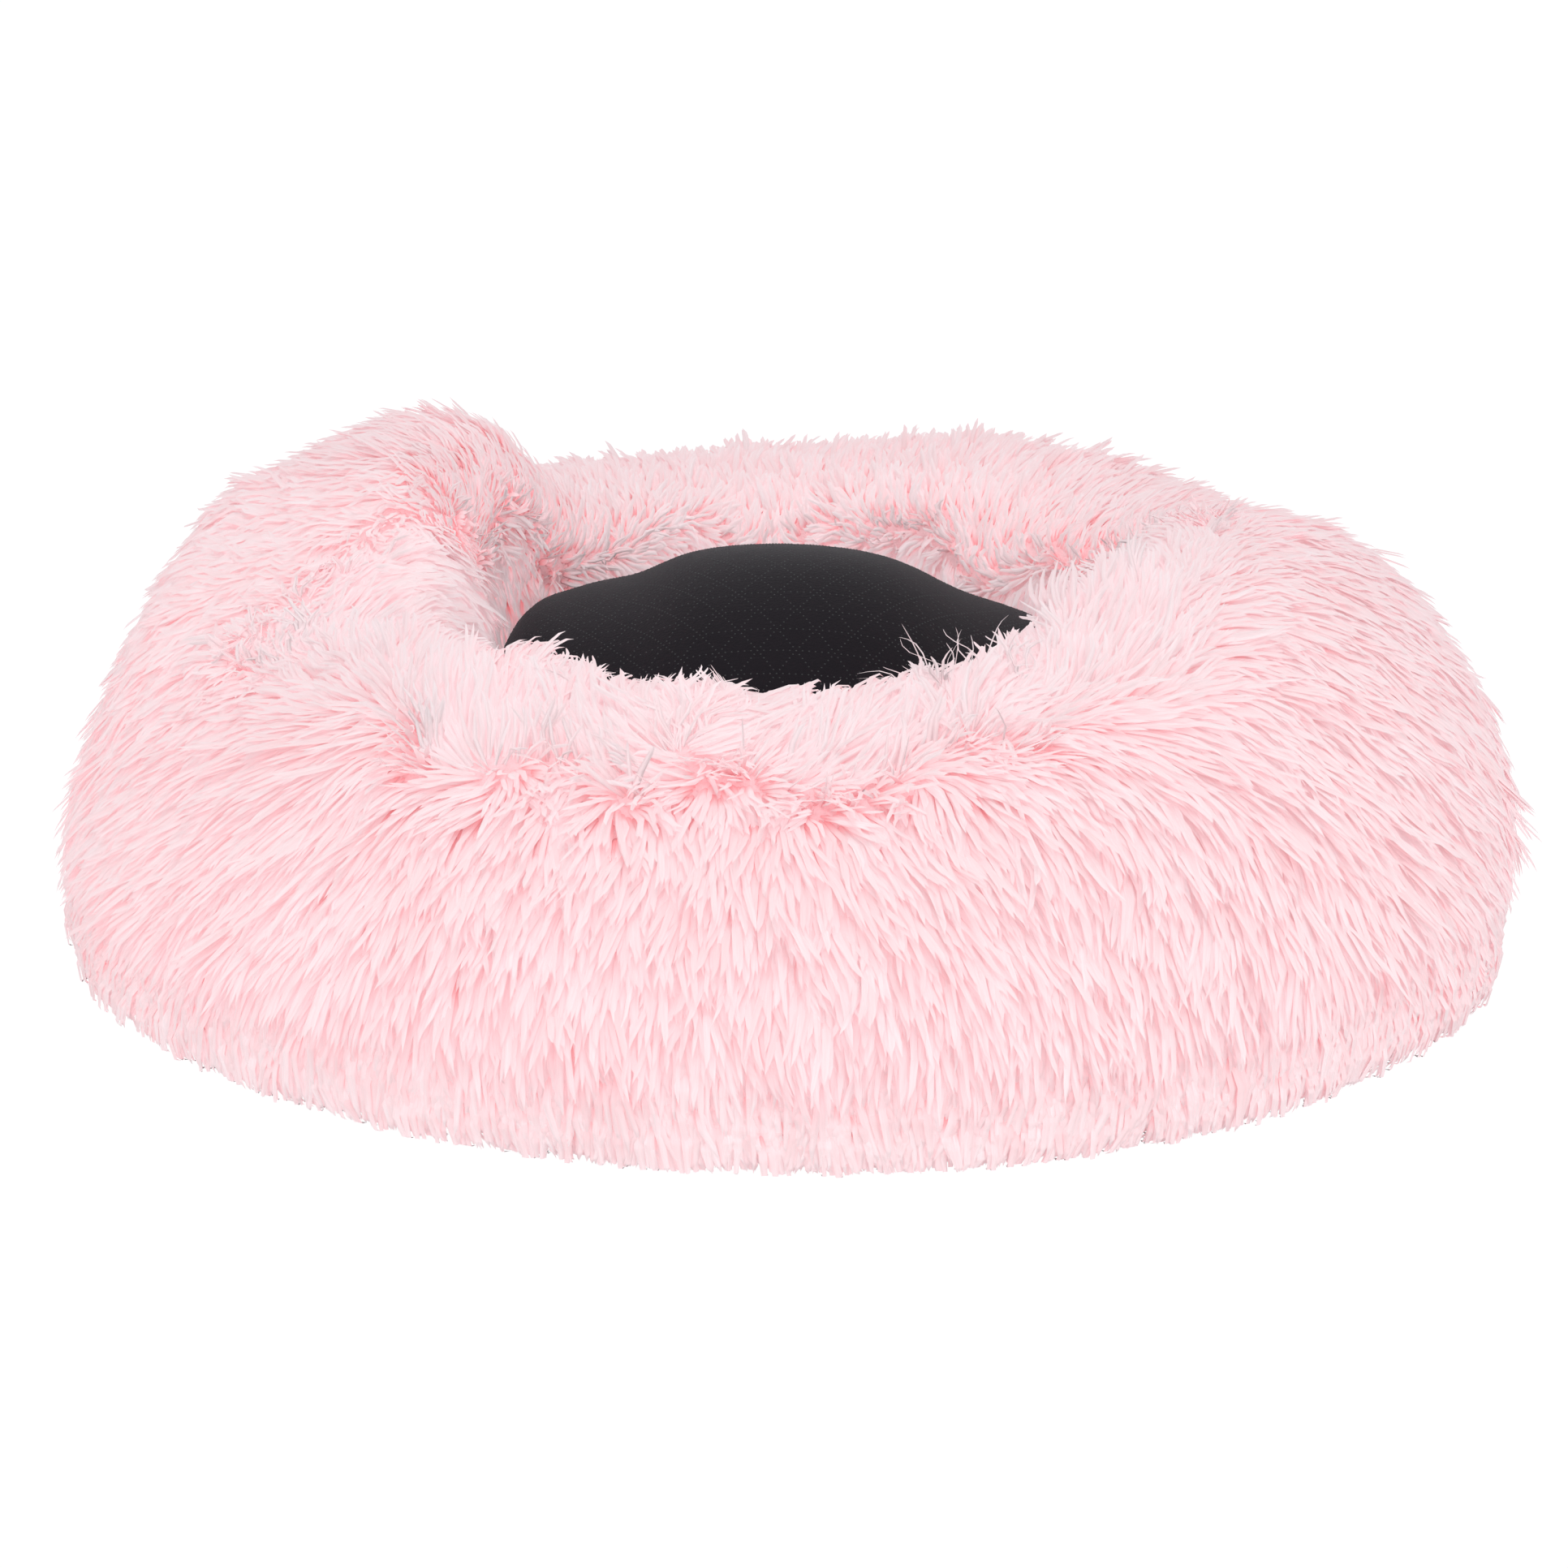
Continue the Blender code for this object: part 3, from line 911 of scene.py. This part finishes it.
def bendFleece(desk, given, fleece):
    # moves each point of the sticks to its place on a bent strand, and gives the strands colours and normals
    c = strand
    across, upward, drawn = desk.parts(desk.named("pile.strand", "FLOAT_VECTOR"))
    gone = 1 - (1 - drawn) ** c["crowding"]
    root, toLock, first, last, sideways, normal = [
        desk.named("pile." + name, "FLOAT_VECTOR")
        for name in ("root", "toLock", "first", "last", "side", "normal")]
    reach, width, pale, under, phase, wave, shade = [
        desk.named("pile." + name) for name in ("reach", "width", "pale", "under", "phase", "wave", "shade")]
    heading = desk.vector("NORMALIZE", first * (1 - gone) + last * gone)
    over = desk.vector("NORMALIZE", desk.vector("CROSS_PRODUCT", heading, sideways))
    squared = gone * gone
    curve = (first * (gone - squared * 0.5) + last * (squared * 0.5)) * reach
    sway = desk.math("SINE", gone * c["waveTurn"] + phase) * wave * gone
    taper = width * (1 + drawn * c["taper"])
    place = (root + curve + toLock * (gone ** c["pullGrowth"])
             + sideways * (sway - upward * taper * c["breadth"]) + over * (across * taper * c["thickness"]))
    x, y, z = desk.parts(place)
    lowest = given["Lowest"] + across * width * c["clearance"] + width * c["clearance"]
    place = desk.wire("ShaderNodeCombineXYZ", {}, {0: x, 1: y, 2: desk.math("MAXIMUM", z, lowest)})
    fleece = desk.wire("GeometryNodeSetPosition", {}, {"Geometry": fleece, "Position": place})

    # the underside takes the deeper colour that light has after passing through the pile
    along = gone + (1 - gone) * desk.math("MAXIMUM", pale, 0.0) + gone * desk.math("MINIMUM", pale, 0.0)
    chart = desk.wire("ShaderNodeCombineXYZ", {}, {
        0: shade * (1 - under * c["underShade"]) + upward * c["edgeShade"],
        1: along * (1 - under * c["underDepth"])})
    fleece = desk.keep(fleece, "OFBake", chart, "FLOAT2", "CORNER")

    # the shading follows the ring more than the single strand, as light through fine fibres does
    raised = desk.vector("MAXIMUM", normal, c["lowestFacing"]) + c["skyward"]
    upright = desk.vector("DOT_PRODUCT", heading, normal, out="Value")
    ridge = (over * across - sideways * upward) * (c["roundness"] + upright * upright) + raised
    facing = desk.vector("NORMALIZE", ridge * (1 - under) + (raised * 0.5 - over) * under)
    return desk.wire("GeometryNodeSetMeshNormal", {"mode": "FREE", "domain": "POINT"},
                     {"Mesh": fleece, "Custom Normal": facing})


def pileTree():
    # strands on a surface: each grows along the combed direction and leans to the middle of its lock
    tree, desk, given = newTree("longPile", (
        ("Geometry", "Geometry"), ("Zone", "Int"), ("Strands per m2", "Float"), ("Locks per m2", "Float"),
        ("Strand Width", "Float"), ("Lock Pull", "Float"), ("Wave", "Float"), ("Lowest", "Float"),
        ("Spread", "Float"), ("Seed", "Int"), ("Sides", "Int"), ("Joints", "Int"), ("Material", "Material")))
    fleece = desk.wire("GeometryNodeInstanceOnPoints", {},
                       {"Points": rootPoints(desk, given), "Instance": pointedStick(desk, given)})
    fleece = desk.wire("GeometryNodeRealizeInstances", {}, {"Geometry": fleece})
    fleece = bendFleece(desk, given, fleece)
    fleece = desk.wire("GeometryNodeSetMaterial", {}, {"Geometry": fleece, "Material": given["Material"]})
    desk.node("NodeGroupOutput", {}, {0: fleece})
    return tree


carrierValues = ("comb", "down", "bearing", "gone", "lift", "length", "fall", "clump", "thin", "ruffle",
                 "tone", "pale", "zone")


def dropValues(mesh):
    # leaves only what a finished piece needs: its map and its normals
    for name in [a.name for a in mesh.attributes if a.name.startswith("pile.") or a.name in carrierValues]:
        mesh.attributes.remove(mesh.attributes[name])


def growPile(carrier, name, values, body):
    # values: the tree's inputs that this piece has for itself
    shared = {"Zone": 0, "Locks per m2": pile["locksPerM2"], "Strand Width": pile["width"],
              "Lock Pull": pile["pull"], "Wave": pile["wave"], "Spread": pile["stray"],
              "Lowest": ring["wellFloor"], "Sides": strand["sides"], "Joints": strand["joints"],
              "Material": plushMaterial}
    piece = grow(longPile, carrier, name, shared | values)
    dropValues(piece.data)
    piece.data.shade_smooth()
    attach(piece, body)
    print(name, len(piece.data.polygons), "faces")


# colours of the plush, and of the cloth that it grows on
plush = {
    # the deep root and middle colours are partly the fibres' own tone and partly painted shade in the gaps
    # between strands
    "stops": (  # place along the strand, its colour on the deepest strands, and on the palest
        (0.0, (0.55, 0.17, 0.19), (0.55, 0.17, 0.19)),
        (0.07, (0.94, 0.28, 0.31), (0.95, 0.49, 0.52)),
        (0.38, (0.955, 0.64, 0.665), (0.965, 0.835, 0.86)),
        (1.0, (0.965, 0.77, 0.795), (0.975, 0.855, 0.88)),
    ),
    "viewColour": (0.965, 0.835, 0.86),
    "fibreColour": (0.955, 0.64, 0.665),
    "fibreShare": 0.3,
    "fibreRates": (260, 2.5),  # across and along a strand
    "backing": ((0.88, 0.47, 0.50), (0.95, 0.62, 0.65)),
    "backingTufts": (0.98, 0.72, 0.75),
}


def pileMaterial():
    # the colour depends only on the strand's own map: u is its shade, v runs from root to tip
    material, desk, shader = newMaterial("longPlush", plush["viewColour"], {
        "Roughness": 1.0, "Specular IOR Level": 0.0, "Sheen Weight": 0.16, "Sheen Roughness": 0.45,
        "Sheen Tint": (1.0, 0.82, 0.87, 1)})
    u, v, _ = desk.parts(desk.wire("ShaderNodeUVMap", {"uv_map": "OFBake"}))
    deepest, palest = (
        desk.wire("ShaderNodeValToRGB", {"stops": [(stop[0], stop[k]) for stop in plush["stops"]]}, {0: v})
        for k in (1, 2))
    acrossRate, alongRate = plush["fibreRates"]
    fine = desk.wire("ShaderNodeCombineXYZ", {}, {0: u * acrossRate, 1: v * alongRate})
    fibres = desk.between(noise(desk, fine, 1.0, 2), 0.3, 0.7) * plush["fibreShare"]
    paint(desk, shader, mixColours(desk, fibres, mixColours(desk, u, deepest, palest), plush["fibreColour"]))
    return material


def backingMaterial():
    material, desk, shader = newMaterial("plushBacking", (0.93, 0.55, 0.58), {"Roughness": 0.95})
    where = objectPlace(desk)
    tufts = noise(desk, where, 420, 2)
    cloth = mixColours(desk, noise(desk, where, 40, 2), *plush["backing"])
    paint(desk, shader, mixColours(desk, tufts, cloth, plush["backingTufts"]))
    bump(desk, shader, tufts, 0.001)
    return material


density, widen = ((1.0, 1.0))

plushMaterial = pileMaterial()
backing = backingMaterial()
ringCarrier = makeRingCarrier()
print("ring form made:", len(ringCarrier.polygons), "faces")

longPile = pileTree()
for zone in range(ring["outerSectors"] + ring["innerSectors"]):
    outer = zone < ring["outerSectors"]
    name = f"outerPile{zone + 1}" if outer else f"innerPile{zone - ring['outerSectors'] + 1}"
    lowest = pile["lowest"] if outer else ring["wellFloor"]
    growPile(ringCarrier, name, {
        "Zone": zone, "Seed": pile["seed"] + zone, "Strands per m2": pile["strandsPerM2"] * density,
        "Strand Width": pile["width"] * widen, "Lowest": lowest}, "bed")

# single tufts and loose hairs on the front rim, longer and finer than the pile they stand in
tufts = {
    "rimTufts": {
        "spots": (  # bearing, from crest, reach, lean, fan, length, lift, thinness
            (347.0, 0.015, 0.010, -0.1, 0.6, 0.015, 0.12, 0.5),
            (21.0, 0.001, 0.0035, -0.2, 0.3, 0.014, 0.4, 0.6),
            (31.0, 0.006, 0.006, 0.6, 0.5, 0.014, 0.25, 0.6),
            (38.0, 0.010, 0.006, 0.8, 0.4, 0.015, 0.2, 0.6),
            (47.0, 0.001, 0.009, 0.9, 0.35, 0.022, 0.3, 0.75),
            (57.0, -0.004, 0.008, 0.8, 0.35, 0.016, 0.15, 0.75),
            (328.5, 0.006, 0.007, -0.5, 0.4, 0.015, 0.15, 0.6),
        ),
        "strandsPerM2": 600000,
        "locksPerM2": 60000,
        "wave": 1.6,  # times the pile's
        "stray": 0.2,
    },
    "strayHairs": {
        "spots": (
            (24.0, 0.000, 0.016, -0.3, 0.6, 0.024, 0.6, 0.22),
            (356.0, 0.000, 0.006, 0.2, 0.5, 0.011, 0.4, 0.12),
        ),
        "strandsPerM2": 34000,
        "locksPerM2": 34000,
        "wave": 2.4,
        "stray": 0.5,
    },
}
tuftReach = 2.2  # how far a spot's values go, in its own reaches
tuftValues = {"tone": 0.8, "fall": 0.35, "pale": 0.35, "clump": 1}
tuftInputs = {"Lock Pull": 0.3, "Seed": 71, "Joints": 6}


def makeTuftCarrier(spots):
    mesh = ringCarrier.copy()
    bearing, gone, down = (valuesOf(mesh, name) for name in ("bearing", "gone", "down"))
    points = pointsOf(mesh)
    cover = {"bearing": bearing, "gone": gone, "radius": np.hypot(points[:, 0], points[:, 1])}
    turned = np.radians(bearing)
    along = np.stack([np.cos(turned), np.sin(turned), turned * 0], 1)
    values = {name: valuesOf(mesh, name) for name in ("comb", "lift", "length", "thin", *tuftValues)}
    inside = np.zeros(len(points), bool)
    for centre, place, reach, lean, fan, length, lift, thin in spots:
        across, onward = offsetsFrom(cover, centre, place)
        away = np.hypot(across, onward)
        inside |= away < reach
        beside = away < tuftReach * reach
        fanned = (along * across[:, None] + down * onward[:, None]) * fan / reach
        values["comb"][beside] = (along * lean - down + fanned)[beside]
        for name, value in {"lift": lift, "length": length, "thin": thin, **tuftValues}.items():
            values[name][beside] = value
    # a face belongs to a tuft when at least half its corners lie in it
    zone = [0 if inside[list(face.vertices)].mean() >= 0.5 else -1 for face in mesh.polygons]
    for name in (*values, "zone"):
        mesh.attributes.remove(mesh.attributes[name])
    keepValues(mesh, values)
    keepValues(mesh, {"zone": zone}, "FACE")
    return mesh


for name, kind in tufts.items():
    growPile(makeTuftCarrier(kind["spots"]), name, {
        "Strands per m2": kind["strandsPerM2"], "Locks per m2": kind["locksPerM2"],
        "Wave": pile["wave"] * kind["wave"], "Spread": kind["stray"], **tuftInputs}, "bed")

coverMesh = ringCarrier.copy()
dropValues(coverMesh)
cover = addObject("ringCover", coverMesh, backing)
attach(cover, "bed")
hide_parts("outer_wall_panel", "inner_wall_panel", "ring_filling")
print("ring covered")

# cushion: a stuffed dome on the solid's lines, filled out by pressure and drawn in at its seam
cushion = {
    "base": 0.0189,
    "radius": 0.100,
    "height": 0.108,
    "crownRadius": 0.164,
    "shoulderRadius": 0.031,
    "heelRadius": 0.034,
    "seamHeight": 0.0643,
    "seamDepth": 0.0045,
    "seamReach": 0.0045,
    "seamOutside": 0.06,  # only points that are further out than this belong to the seam
    "puckers": (23, 38, 0.22),  # two counts round the seam, and their share of its depth
    "inset": 0.0008,
    "underInset": 0.0065,
    "voxel": 0.005,
    "quality": 6,
    "pressure": 4.0,
    "frames": 20,
    "mostMove": 0.005,
    "lumps": (0.0012, 41, 36),  # height, and rates along x and y
    "lumpRise": 0.03,  # the height above the seam over which the lumps come in
    "shoulders": (  # from the middle, reach, height
        (-0.089, 0.012, 0.0045), (-0.052, 0.013, -0.0032), (0.060, 0.018, -0.0042), (0.092, 0.010, 0.003),
    ),
}


def arc(start, end, count, radius, middle):
    # points (radius, height) about a middle, by their angle from upright
    turn = np.linspace(start, end, count)[:, None]
    return np.hstack([np.sin(turn), np.cos(turn)]) * radius + middle


def cushionLine(inset, underInset):
    # the dome's line from its top to the seam, and the line from there to the middle below
    c = cushion
    turnIn = math.asin((c["radius"] - c["shoulderRadius"]) / (c["crownRadius"] - c["shoulderRadius"]))
    middle = c["height"] - c["crownRadius"]
    crown = arc(0, turnIn, 40, c["crownRadius"] - inset, (0, middle))
    shoulderTop = middle + (c["crownRadius"] - c["shoulderRadius"]) * math.cos(turnIn)
    shoulder = arc(turnIn, math.pi / 2, 16, c["shoulderRadius"] - inset,
                   (c["radius"] - c["shoulderRadius"], shoulderTop))[1:]
    seam = [(c["radius"] - inset, c["seamHeight"] - c["base"])]
    heel = arc(math.pi / 2, math.pi, 15, c["heelRadius"] - underInset,
               (c["radius"] - c["heelRadius"], c["heelRadius"]))
    upper, lower = (crown, shoulder, seam), (heel, [(0, underInset)])
    return [np.concatenate(pieces) + (0, c["base"]) for pieces in (upper, lower)]


def puff(obj):
    # cloth pressure fills the form; no point may go further than mostMove
    start = pointsOf(obj.data)
    cloth = obj.modifiers.new("puff", "CLOTH")
    cloth.settings.quality = cushion["quality"]
    cloth.settings.use_pressure = True
    cloth.settings.uniform_pressure_force = cushion["pressure"]
    cloth.settings.effector_weights.gravity = 0
    cloth.collision_settings.use_collision = False
    scene = bpy.context.scene
    for moment in range(1, cushion["frames"] + 1):
        scene.frame_set(moment)
    graph = bpy.context.evaluated_depsgraph_get()
    moved = bpy.data.meshes.new_from_object(obj.evaluated_get(graph))
    step = pointsOf(moved) - start
    obj.modifiers.clear()
    scene.frame_set(1)
    bpy.data.meshes.remove(moved)
    size = np.linalg.norm(step, axis=1, keepdims=True)
    print("cushion filled, moved", round(float(size.mean()) * 1000, 1), "mm on average")
    keepPoints(obj.data, start + step * np.minimum(1, cushion["mostMove"] / np.maximum(size, 1e-9)))


def makeCushionPad():
    c = cushion
    line = np.concatenate(cushionLine(c["inset"], c["underInset"]))
    obj = addObject("cushionPad", lathe("cushionPad", line))
    remesh = obj.modifiers.new("evenFaces", "REMESH")
    remesh.mode = "VOXEL"
    remesh.voxel_size = c["voxel"]
    obj.data = applied(obj)
    puff(obj)
    split = obj.modifiers.new("finer", "SUBSURF")
    split.levels = split.render_levels = 1
    obj.data = applied(obj)
    obj.data.name = "cushionPad"

    cut = bmesh.new()
    cut.from_mesh(obj.data)
    bmesh.ops.bisect_plane(cut, geom=[*cut.verts, *cut.edges, *cut.faces], plane_co=(0, 0, c["seamHeight"]),
                           plane_no=(0, 0, 1), dist=0.0004)
    cut.to_mesh(obj.data)
    cut.free()
    points = pointsOf(obj.data)
    bearing = np.arctan2(points[:, 0], -points[:, 1])
    out = np.hypot(points[:, 0], points[:, 1])[:, None]
    few, many, share = c["puckers"]
    depth = c["seamDepth"] * (1 + share * np.sin(bearing * few + 1) + share * np.sin(bearing * many))
    drawn = depth * hill(points[:, 2] - c["seamHeight"], c["seamReach"]) * (out[:, 0] > c["seamOutside"])
    points[:, :2] -= points[:, :2] / np.maximum(out, 1e-6) * drawn[:, None]
    size, rateX, rateY = c["lumps"]
    lump = np.sin(points[:, 0] * rateX + 1) * np.sin(points[:, 1] * rateY + 2) * size
    for place, reach, height in c["shoulders"]:
        lump += height * hill(points[:, 0] - place, reach)
    points[:, 2] += lump * np.clip((points[:, 2] - c["seamHeight"]) / c["lumpRise"], 0, 1)
    keepPoints(obj.data, points)
    obj.data.shade_smooth()
    return obj


felt = {
    "deep": (0.0060, 0.0045, 0.0066),
    "pale": (0.0112, 0.0092, 0.0126),
}


def feltMaterial(name, sheen):
    material, desk, shader = newMaterial(name, felt["deep"], {
        "Roughness": 0.95, "Specular IOR Level": 0.12, "Sheen Weight": sheen, "Sheen Roughness": 0.4,
        "Sheen Tint": (0.9, 0.86, 0.92, 1)})
    where = objectPlace(desk)
    fibres = noise(desk, where, 900, 3, 0.7)
    drift = noise(desk, where, 30, 2)
    colour = mixColours(desk, drift * 0.5 + fibres * 0.5, felt["deep"], felt["pale"])
    paint(desk, shader, colour)
    bump(desk, shader, fibres, 0.0004, 0.6)
    return material, desk, shader, colour


pad = makeCushionPad()
darkFelt, *_ = feltMaterial("darkFelt", 0.06)
pad.data.materials.append(darkFelt)
pad.data.materials.append(backing)
for face in pad.data.polygons:
    face.material_index = int(face.center.z < cushion["seamHeight"])
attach(pad, "cushion")
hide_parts("cushion_non_slip_face", "cushion_plush_face", "cushion_filling")
print("cushion made:", len(pad.data.polygons), "faces")

# grip dots: rows of small raised dots along the lines of a triangular net
net = {
    "dotSpacing": 0.00217,
    "dotsPerCell": 6,
    "reach": 0.145,  # along the dome from its middle
    "offset": (0.0031, 0.0017),  # of the net's middle from the dome's
    "stopAbove": 0.0685,
    "radius": 0.00035,
    "topRadius": 0.0002,
    "height": 0.00018,
    "sink": 0.00004,
    "deep": (0.006, 0.007, 0.009),
    "pale": (0.013, 0.016, 0.018),
    "printed": (0.085, 0.105, 0.112),
    "printedSpread": 1.2,
}
rowShare = math.sqrt(0.75)  # the rows of a triangular net lie this much closer than its dots


def netPoints():
    # the points of a triangular lattice that lie on its coarse lines
    count = int(net["reach"] / net["dotSpacing"] / rowShare) + 2
    i, j = np.meshgrid(np.arange(-count, count + 1), np.arange(-count, count + 1))
    cell = net["dotsPerCell"]
    onLine = (i % cell == 0) | (j % cell == 0) | ((i + j) % cell == 0)
    i, j = i[onLine], j[onLine]
    return np.stack([(i + j * 0.5), j * rowShare], 1) * net["dotSpacing"]


def netCarrier():
    # the net laid over the dome, by distance from its middle
    line = cushionLine(0, 0)[0]
    gone = lengthsAlong(line)
    flat = netPoints() + net["offset"]
    away = np.hypot(*flat.T)
    flat, away = flat[away < gone[-1]], away[away < gone[-1]]
    r, z = np.interp(away, gone, line[:, 0]), np.interp(away, gone, line[:, 1])
    points = np.hstack([flat / away[:, None] * r[:, None], z[:, None]])
    points = points[z > net["stopAbove"]]
    mesh = bpy.data.meshes.new("netDots")
    mesh.from_pydata(points.tolist(), [], [])
    return mesh


def dotTree():
    # a flat-topped cone at each point, moved to the surface and turned along its normal
    tree, desk, given = newTree("gripDots", (
        ("Geometry", "Geometry"), ("Surface", "Object"), ("Foot Radius", "Float"), ("Top Radius", "Float"),
        ("Height", "Float"), ("Sink", "Float"), ("Material", "Material")))
    cover = desk.wire("GeometryNodeObjectInfo", {}, {"Object": given["Surface"]}, "Geometry")
    place, normal = (
        desk.wire("GeometryNodeSampleNearestSurface", {"data_type": "FLOAT_VECTOR"},
                  {"Mesh": cover, "Value": desk.wire(source)})
        for source in ("GeometryNodeInputPosition", "GeometryNodeInputNormal"))
    turn = desk.wire("FunctionNodeAlignRotationToVector", {"axis": "Z"}, {"Vector": normal})
    points = desk.wire("GeometryNodeMeshToPoints", {}, {"Mesh": given["Geometry"]})
    sunk = place - normal * given["Sink"]
    points = desk.wire("GeometryNodeSetPosition", {}, {"Geometry": points, "Position": sunk})
    dot = desk.wire("GeometryNodeMeshCone", {"fill_type": "NGON"},
                    {"Vertices": 6, "Radius Top": given["Top Radius"], "Radius Bottom": given["Foot Radius"],
                     "Depth": given["Height"]}, "Mesh")
    dots = desk.wire("GeometryNodeInstanceOnPoints", {},
                     {"Points": points, "Instance": dot, "Rotation": turn})
    dots = desk.wire("GeometryNodeRealizeInstances", {}, {"Geometry": dots})
    dots = desk.wire("GeometryNodeSetMaterial", {}, {"Geometry": dots, "Material": given["Material"]})
    desk.node("NodeGroupOutput", {}, {0: dots})
    return tree


def dotMaterial():
    material, desk, shader = newMaterial("gripDots", (0.07, 0.09, 0.10), {"Roughness": 0.7})
    paint(desk, shader, mixColours(desk, noise(desk, objectPlace(desk), 55, 2), net["deep"], net["pale"]))
    return material


dots = grow(dotTree(), netCarrier(), "netDots", {
    "Surface": pad, "Foot Radius": net["radius"], "Top Radius": net["topRadius"], "Height": net["height"],
    "Sink": net["sink"], "Material": dotMaterial()})
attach(dots, "cushion")
print("net dots made:", len(dots.data.polygons), "faces")

# the cushion's other face has the same pile, shorter
underPile = {
    "values": {"length": 0.014, "lift": 0.12, "fall": 0.3, "thin": 0.9, "clump": 0.8, "tone": 0.5,
               "pale": 0.2},
    "strandsPerM2": 170000,
    "locksPerM2": 50000,
    "inwards": 0.7,
    "downwards": 0.8,
    "wander": (0.5, 21, 4, 6, 90),  # amount, then what waves takes
    "wave": 0.6,  # times the ring pile's
    "seamGap": 0.002,
    "middle": 0.004,  # nearer to the axis than this the pull inwards fades
    "seed": 41,
}


def makeUnderCarrier():
    mesh = pad.data.copy()
    points = pointsOf(mesh)
    out = np.hypot(points[:, 0], points[:, 1])
    bearing = np.degrees(np.arctan2(points[:, 0], -points[:, 1]))
    amount, *rule = underPile["wander"]
    sweep = amount * waves(bearing, points[:, 2], *rule)
    inwards = -points[:, :2] / np.maximum(out, underPile["middle"])[:, None]
    across = np.stack([-inwards[:, 1], inwards[:, 0]], 1)
    flow = np.hstack([inwards * underPile["inwards"] + across * sweep[:, None],
                      np.full((len(points), 1), -underPile["downwards"])])
    keepValues(mesh, {"comb": flow, **underPile["values"]})
    bareAbove = cushion["seamHeight"] - underPile["seamGap"]
    keepValues(mesh, {"zone": [int(face.center.z > bareAbove) for face in mesh.polygons]}, "FACE")
    return mesh


growPile(makeUnderCarrier(), "cushionPile", {
    "Strands per m2": underPile["strandsPerM2"] * density, "Locks per m2": underPile["locksPerM2"],
    "Strand Width": pile["width"] * widen, "Wave": pile["wave"] * underPile["wave"],
    "Lowest": cushion["base"], "Seed": underPile["seed"]}, "cushion")

# the floor of the well, the pad under it and the cloth that closes the bottom
base = {
    "floorRadius": 0.1195,
    "padRadius": 0.1115,
    "clothLow": 0.0148,
    "clothTop": 0.0184,
    "padLow": 0.0023,
    "padTop": 0.0143,
    "edge": 0.0016,
    "underRadius": 0.216,
    "underTop": 0.0019,
    "rings": (0.3, 0.6, 0.85),  # shares of the radius
    "threadRate": 5200,
    "lining": ((0.80, 0.50, 0.52), (0.93, 0.66, 0.68)),
    "wadding": ((0.80, 0.79, 0.77), (0.93, 0.92, 0.90)),
}


def addDisc(name, radius, low, top, edge, material):
    # a flat disc with rounded edges
    high = arc(0, math.pi / 2, 5, edge, (radius - edge, top - edge))
    under = arc(math.pi / 2, math.pi, 5, edge, (radius - edge, low + edge))
    inner = [(radius * share, top) for share in base["rings"]]
    outer = [(radius * share, low) for share in base["rings"][::-1]]
    return addObject(name, lathe(name, [(0, top), *inner, *high, *under, *outer, (0, low)]), material)


def clothMaterial(name, deep, pale):
    # a plain weave: two sets of fine threads
    material, desk, shader = newMaterial(name, pale, {"Roughness": 0.9, "Specular IOR Level": 0.2})
    where = objectPlace(desk)
    x, y, _ = desk.parts(where)
    rate = base["threadRate"]
    threads = desk.math("SINE", x * rate) * desk.math("SINE", y * rate) * 0.5 + 0.5
    drift = noise(desk, where, 35, 3)
    paint(desk, shader, mixColours(desk, threads * 0.5 + drift * 0.5, deep, pale))
    bump(desk, shader, threads, 0.0002)
    return material


def nonSlipMaterial():
    # dark cloth with the net of dots printed on it
    material, desk, shader, cloth = feltMaterial("nonSlipCloth", 0.05)
    x, y, _ = desk.parts(objectPlace(desk))
    rowGap = net["dotSpacing"] * net["dotsPerCell"] * rowShare
    marks = []
    for turned in (0, 60, 120):
        c, s = math.cos(math.radians(turned)), math.sin(math.radians(turned))
        across = desk.math("PINGPONG", x * (-s) + y * c, rowGap / 2)
        onward = desk.math("PINGPONG", x * c + y * s, net["dotSpacing"] / 2)
        away = desk.math("SQRT", across * across + onward * onward)
        marks.append(1 - desk.between(away, net["topRadius"], net["radius"] * net["printedSpread"]))
    printed = desk.math("MAXIMUM", desk.math("MAXIMUM", marks[0], marks[1]), marks[2])
    paint(desk, shader, mixColours(desk, printed, cloth, net["printed"]))
    return material


wellCloth = addDisc("wellFloorCloth", base["floorRadius"], base["clothLow"], base["clothTop"], base["edge"],
                    clothMaterial("liningCloth", *base["lining"]))
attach(wellCloth, "bed")
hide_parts("well_floor_panel")
basePad = addDisc("basePadding", base["padRadius"], base["padLow"], base["padTop"], 2 * base["edge"],
                  clothMaterial("wadding", *base["wadding"]))
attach(basePad, "bed")
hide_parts("base_pad")
underCloth = addDisc("undersideCloth", base["underRadius"], 0, base["underTop"], base["underTop"] / 3,
                     nonSlipMaterial())
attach(underCloth, "bed")
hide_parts("underside_panel")
print("well floor, padding and underside made")
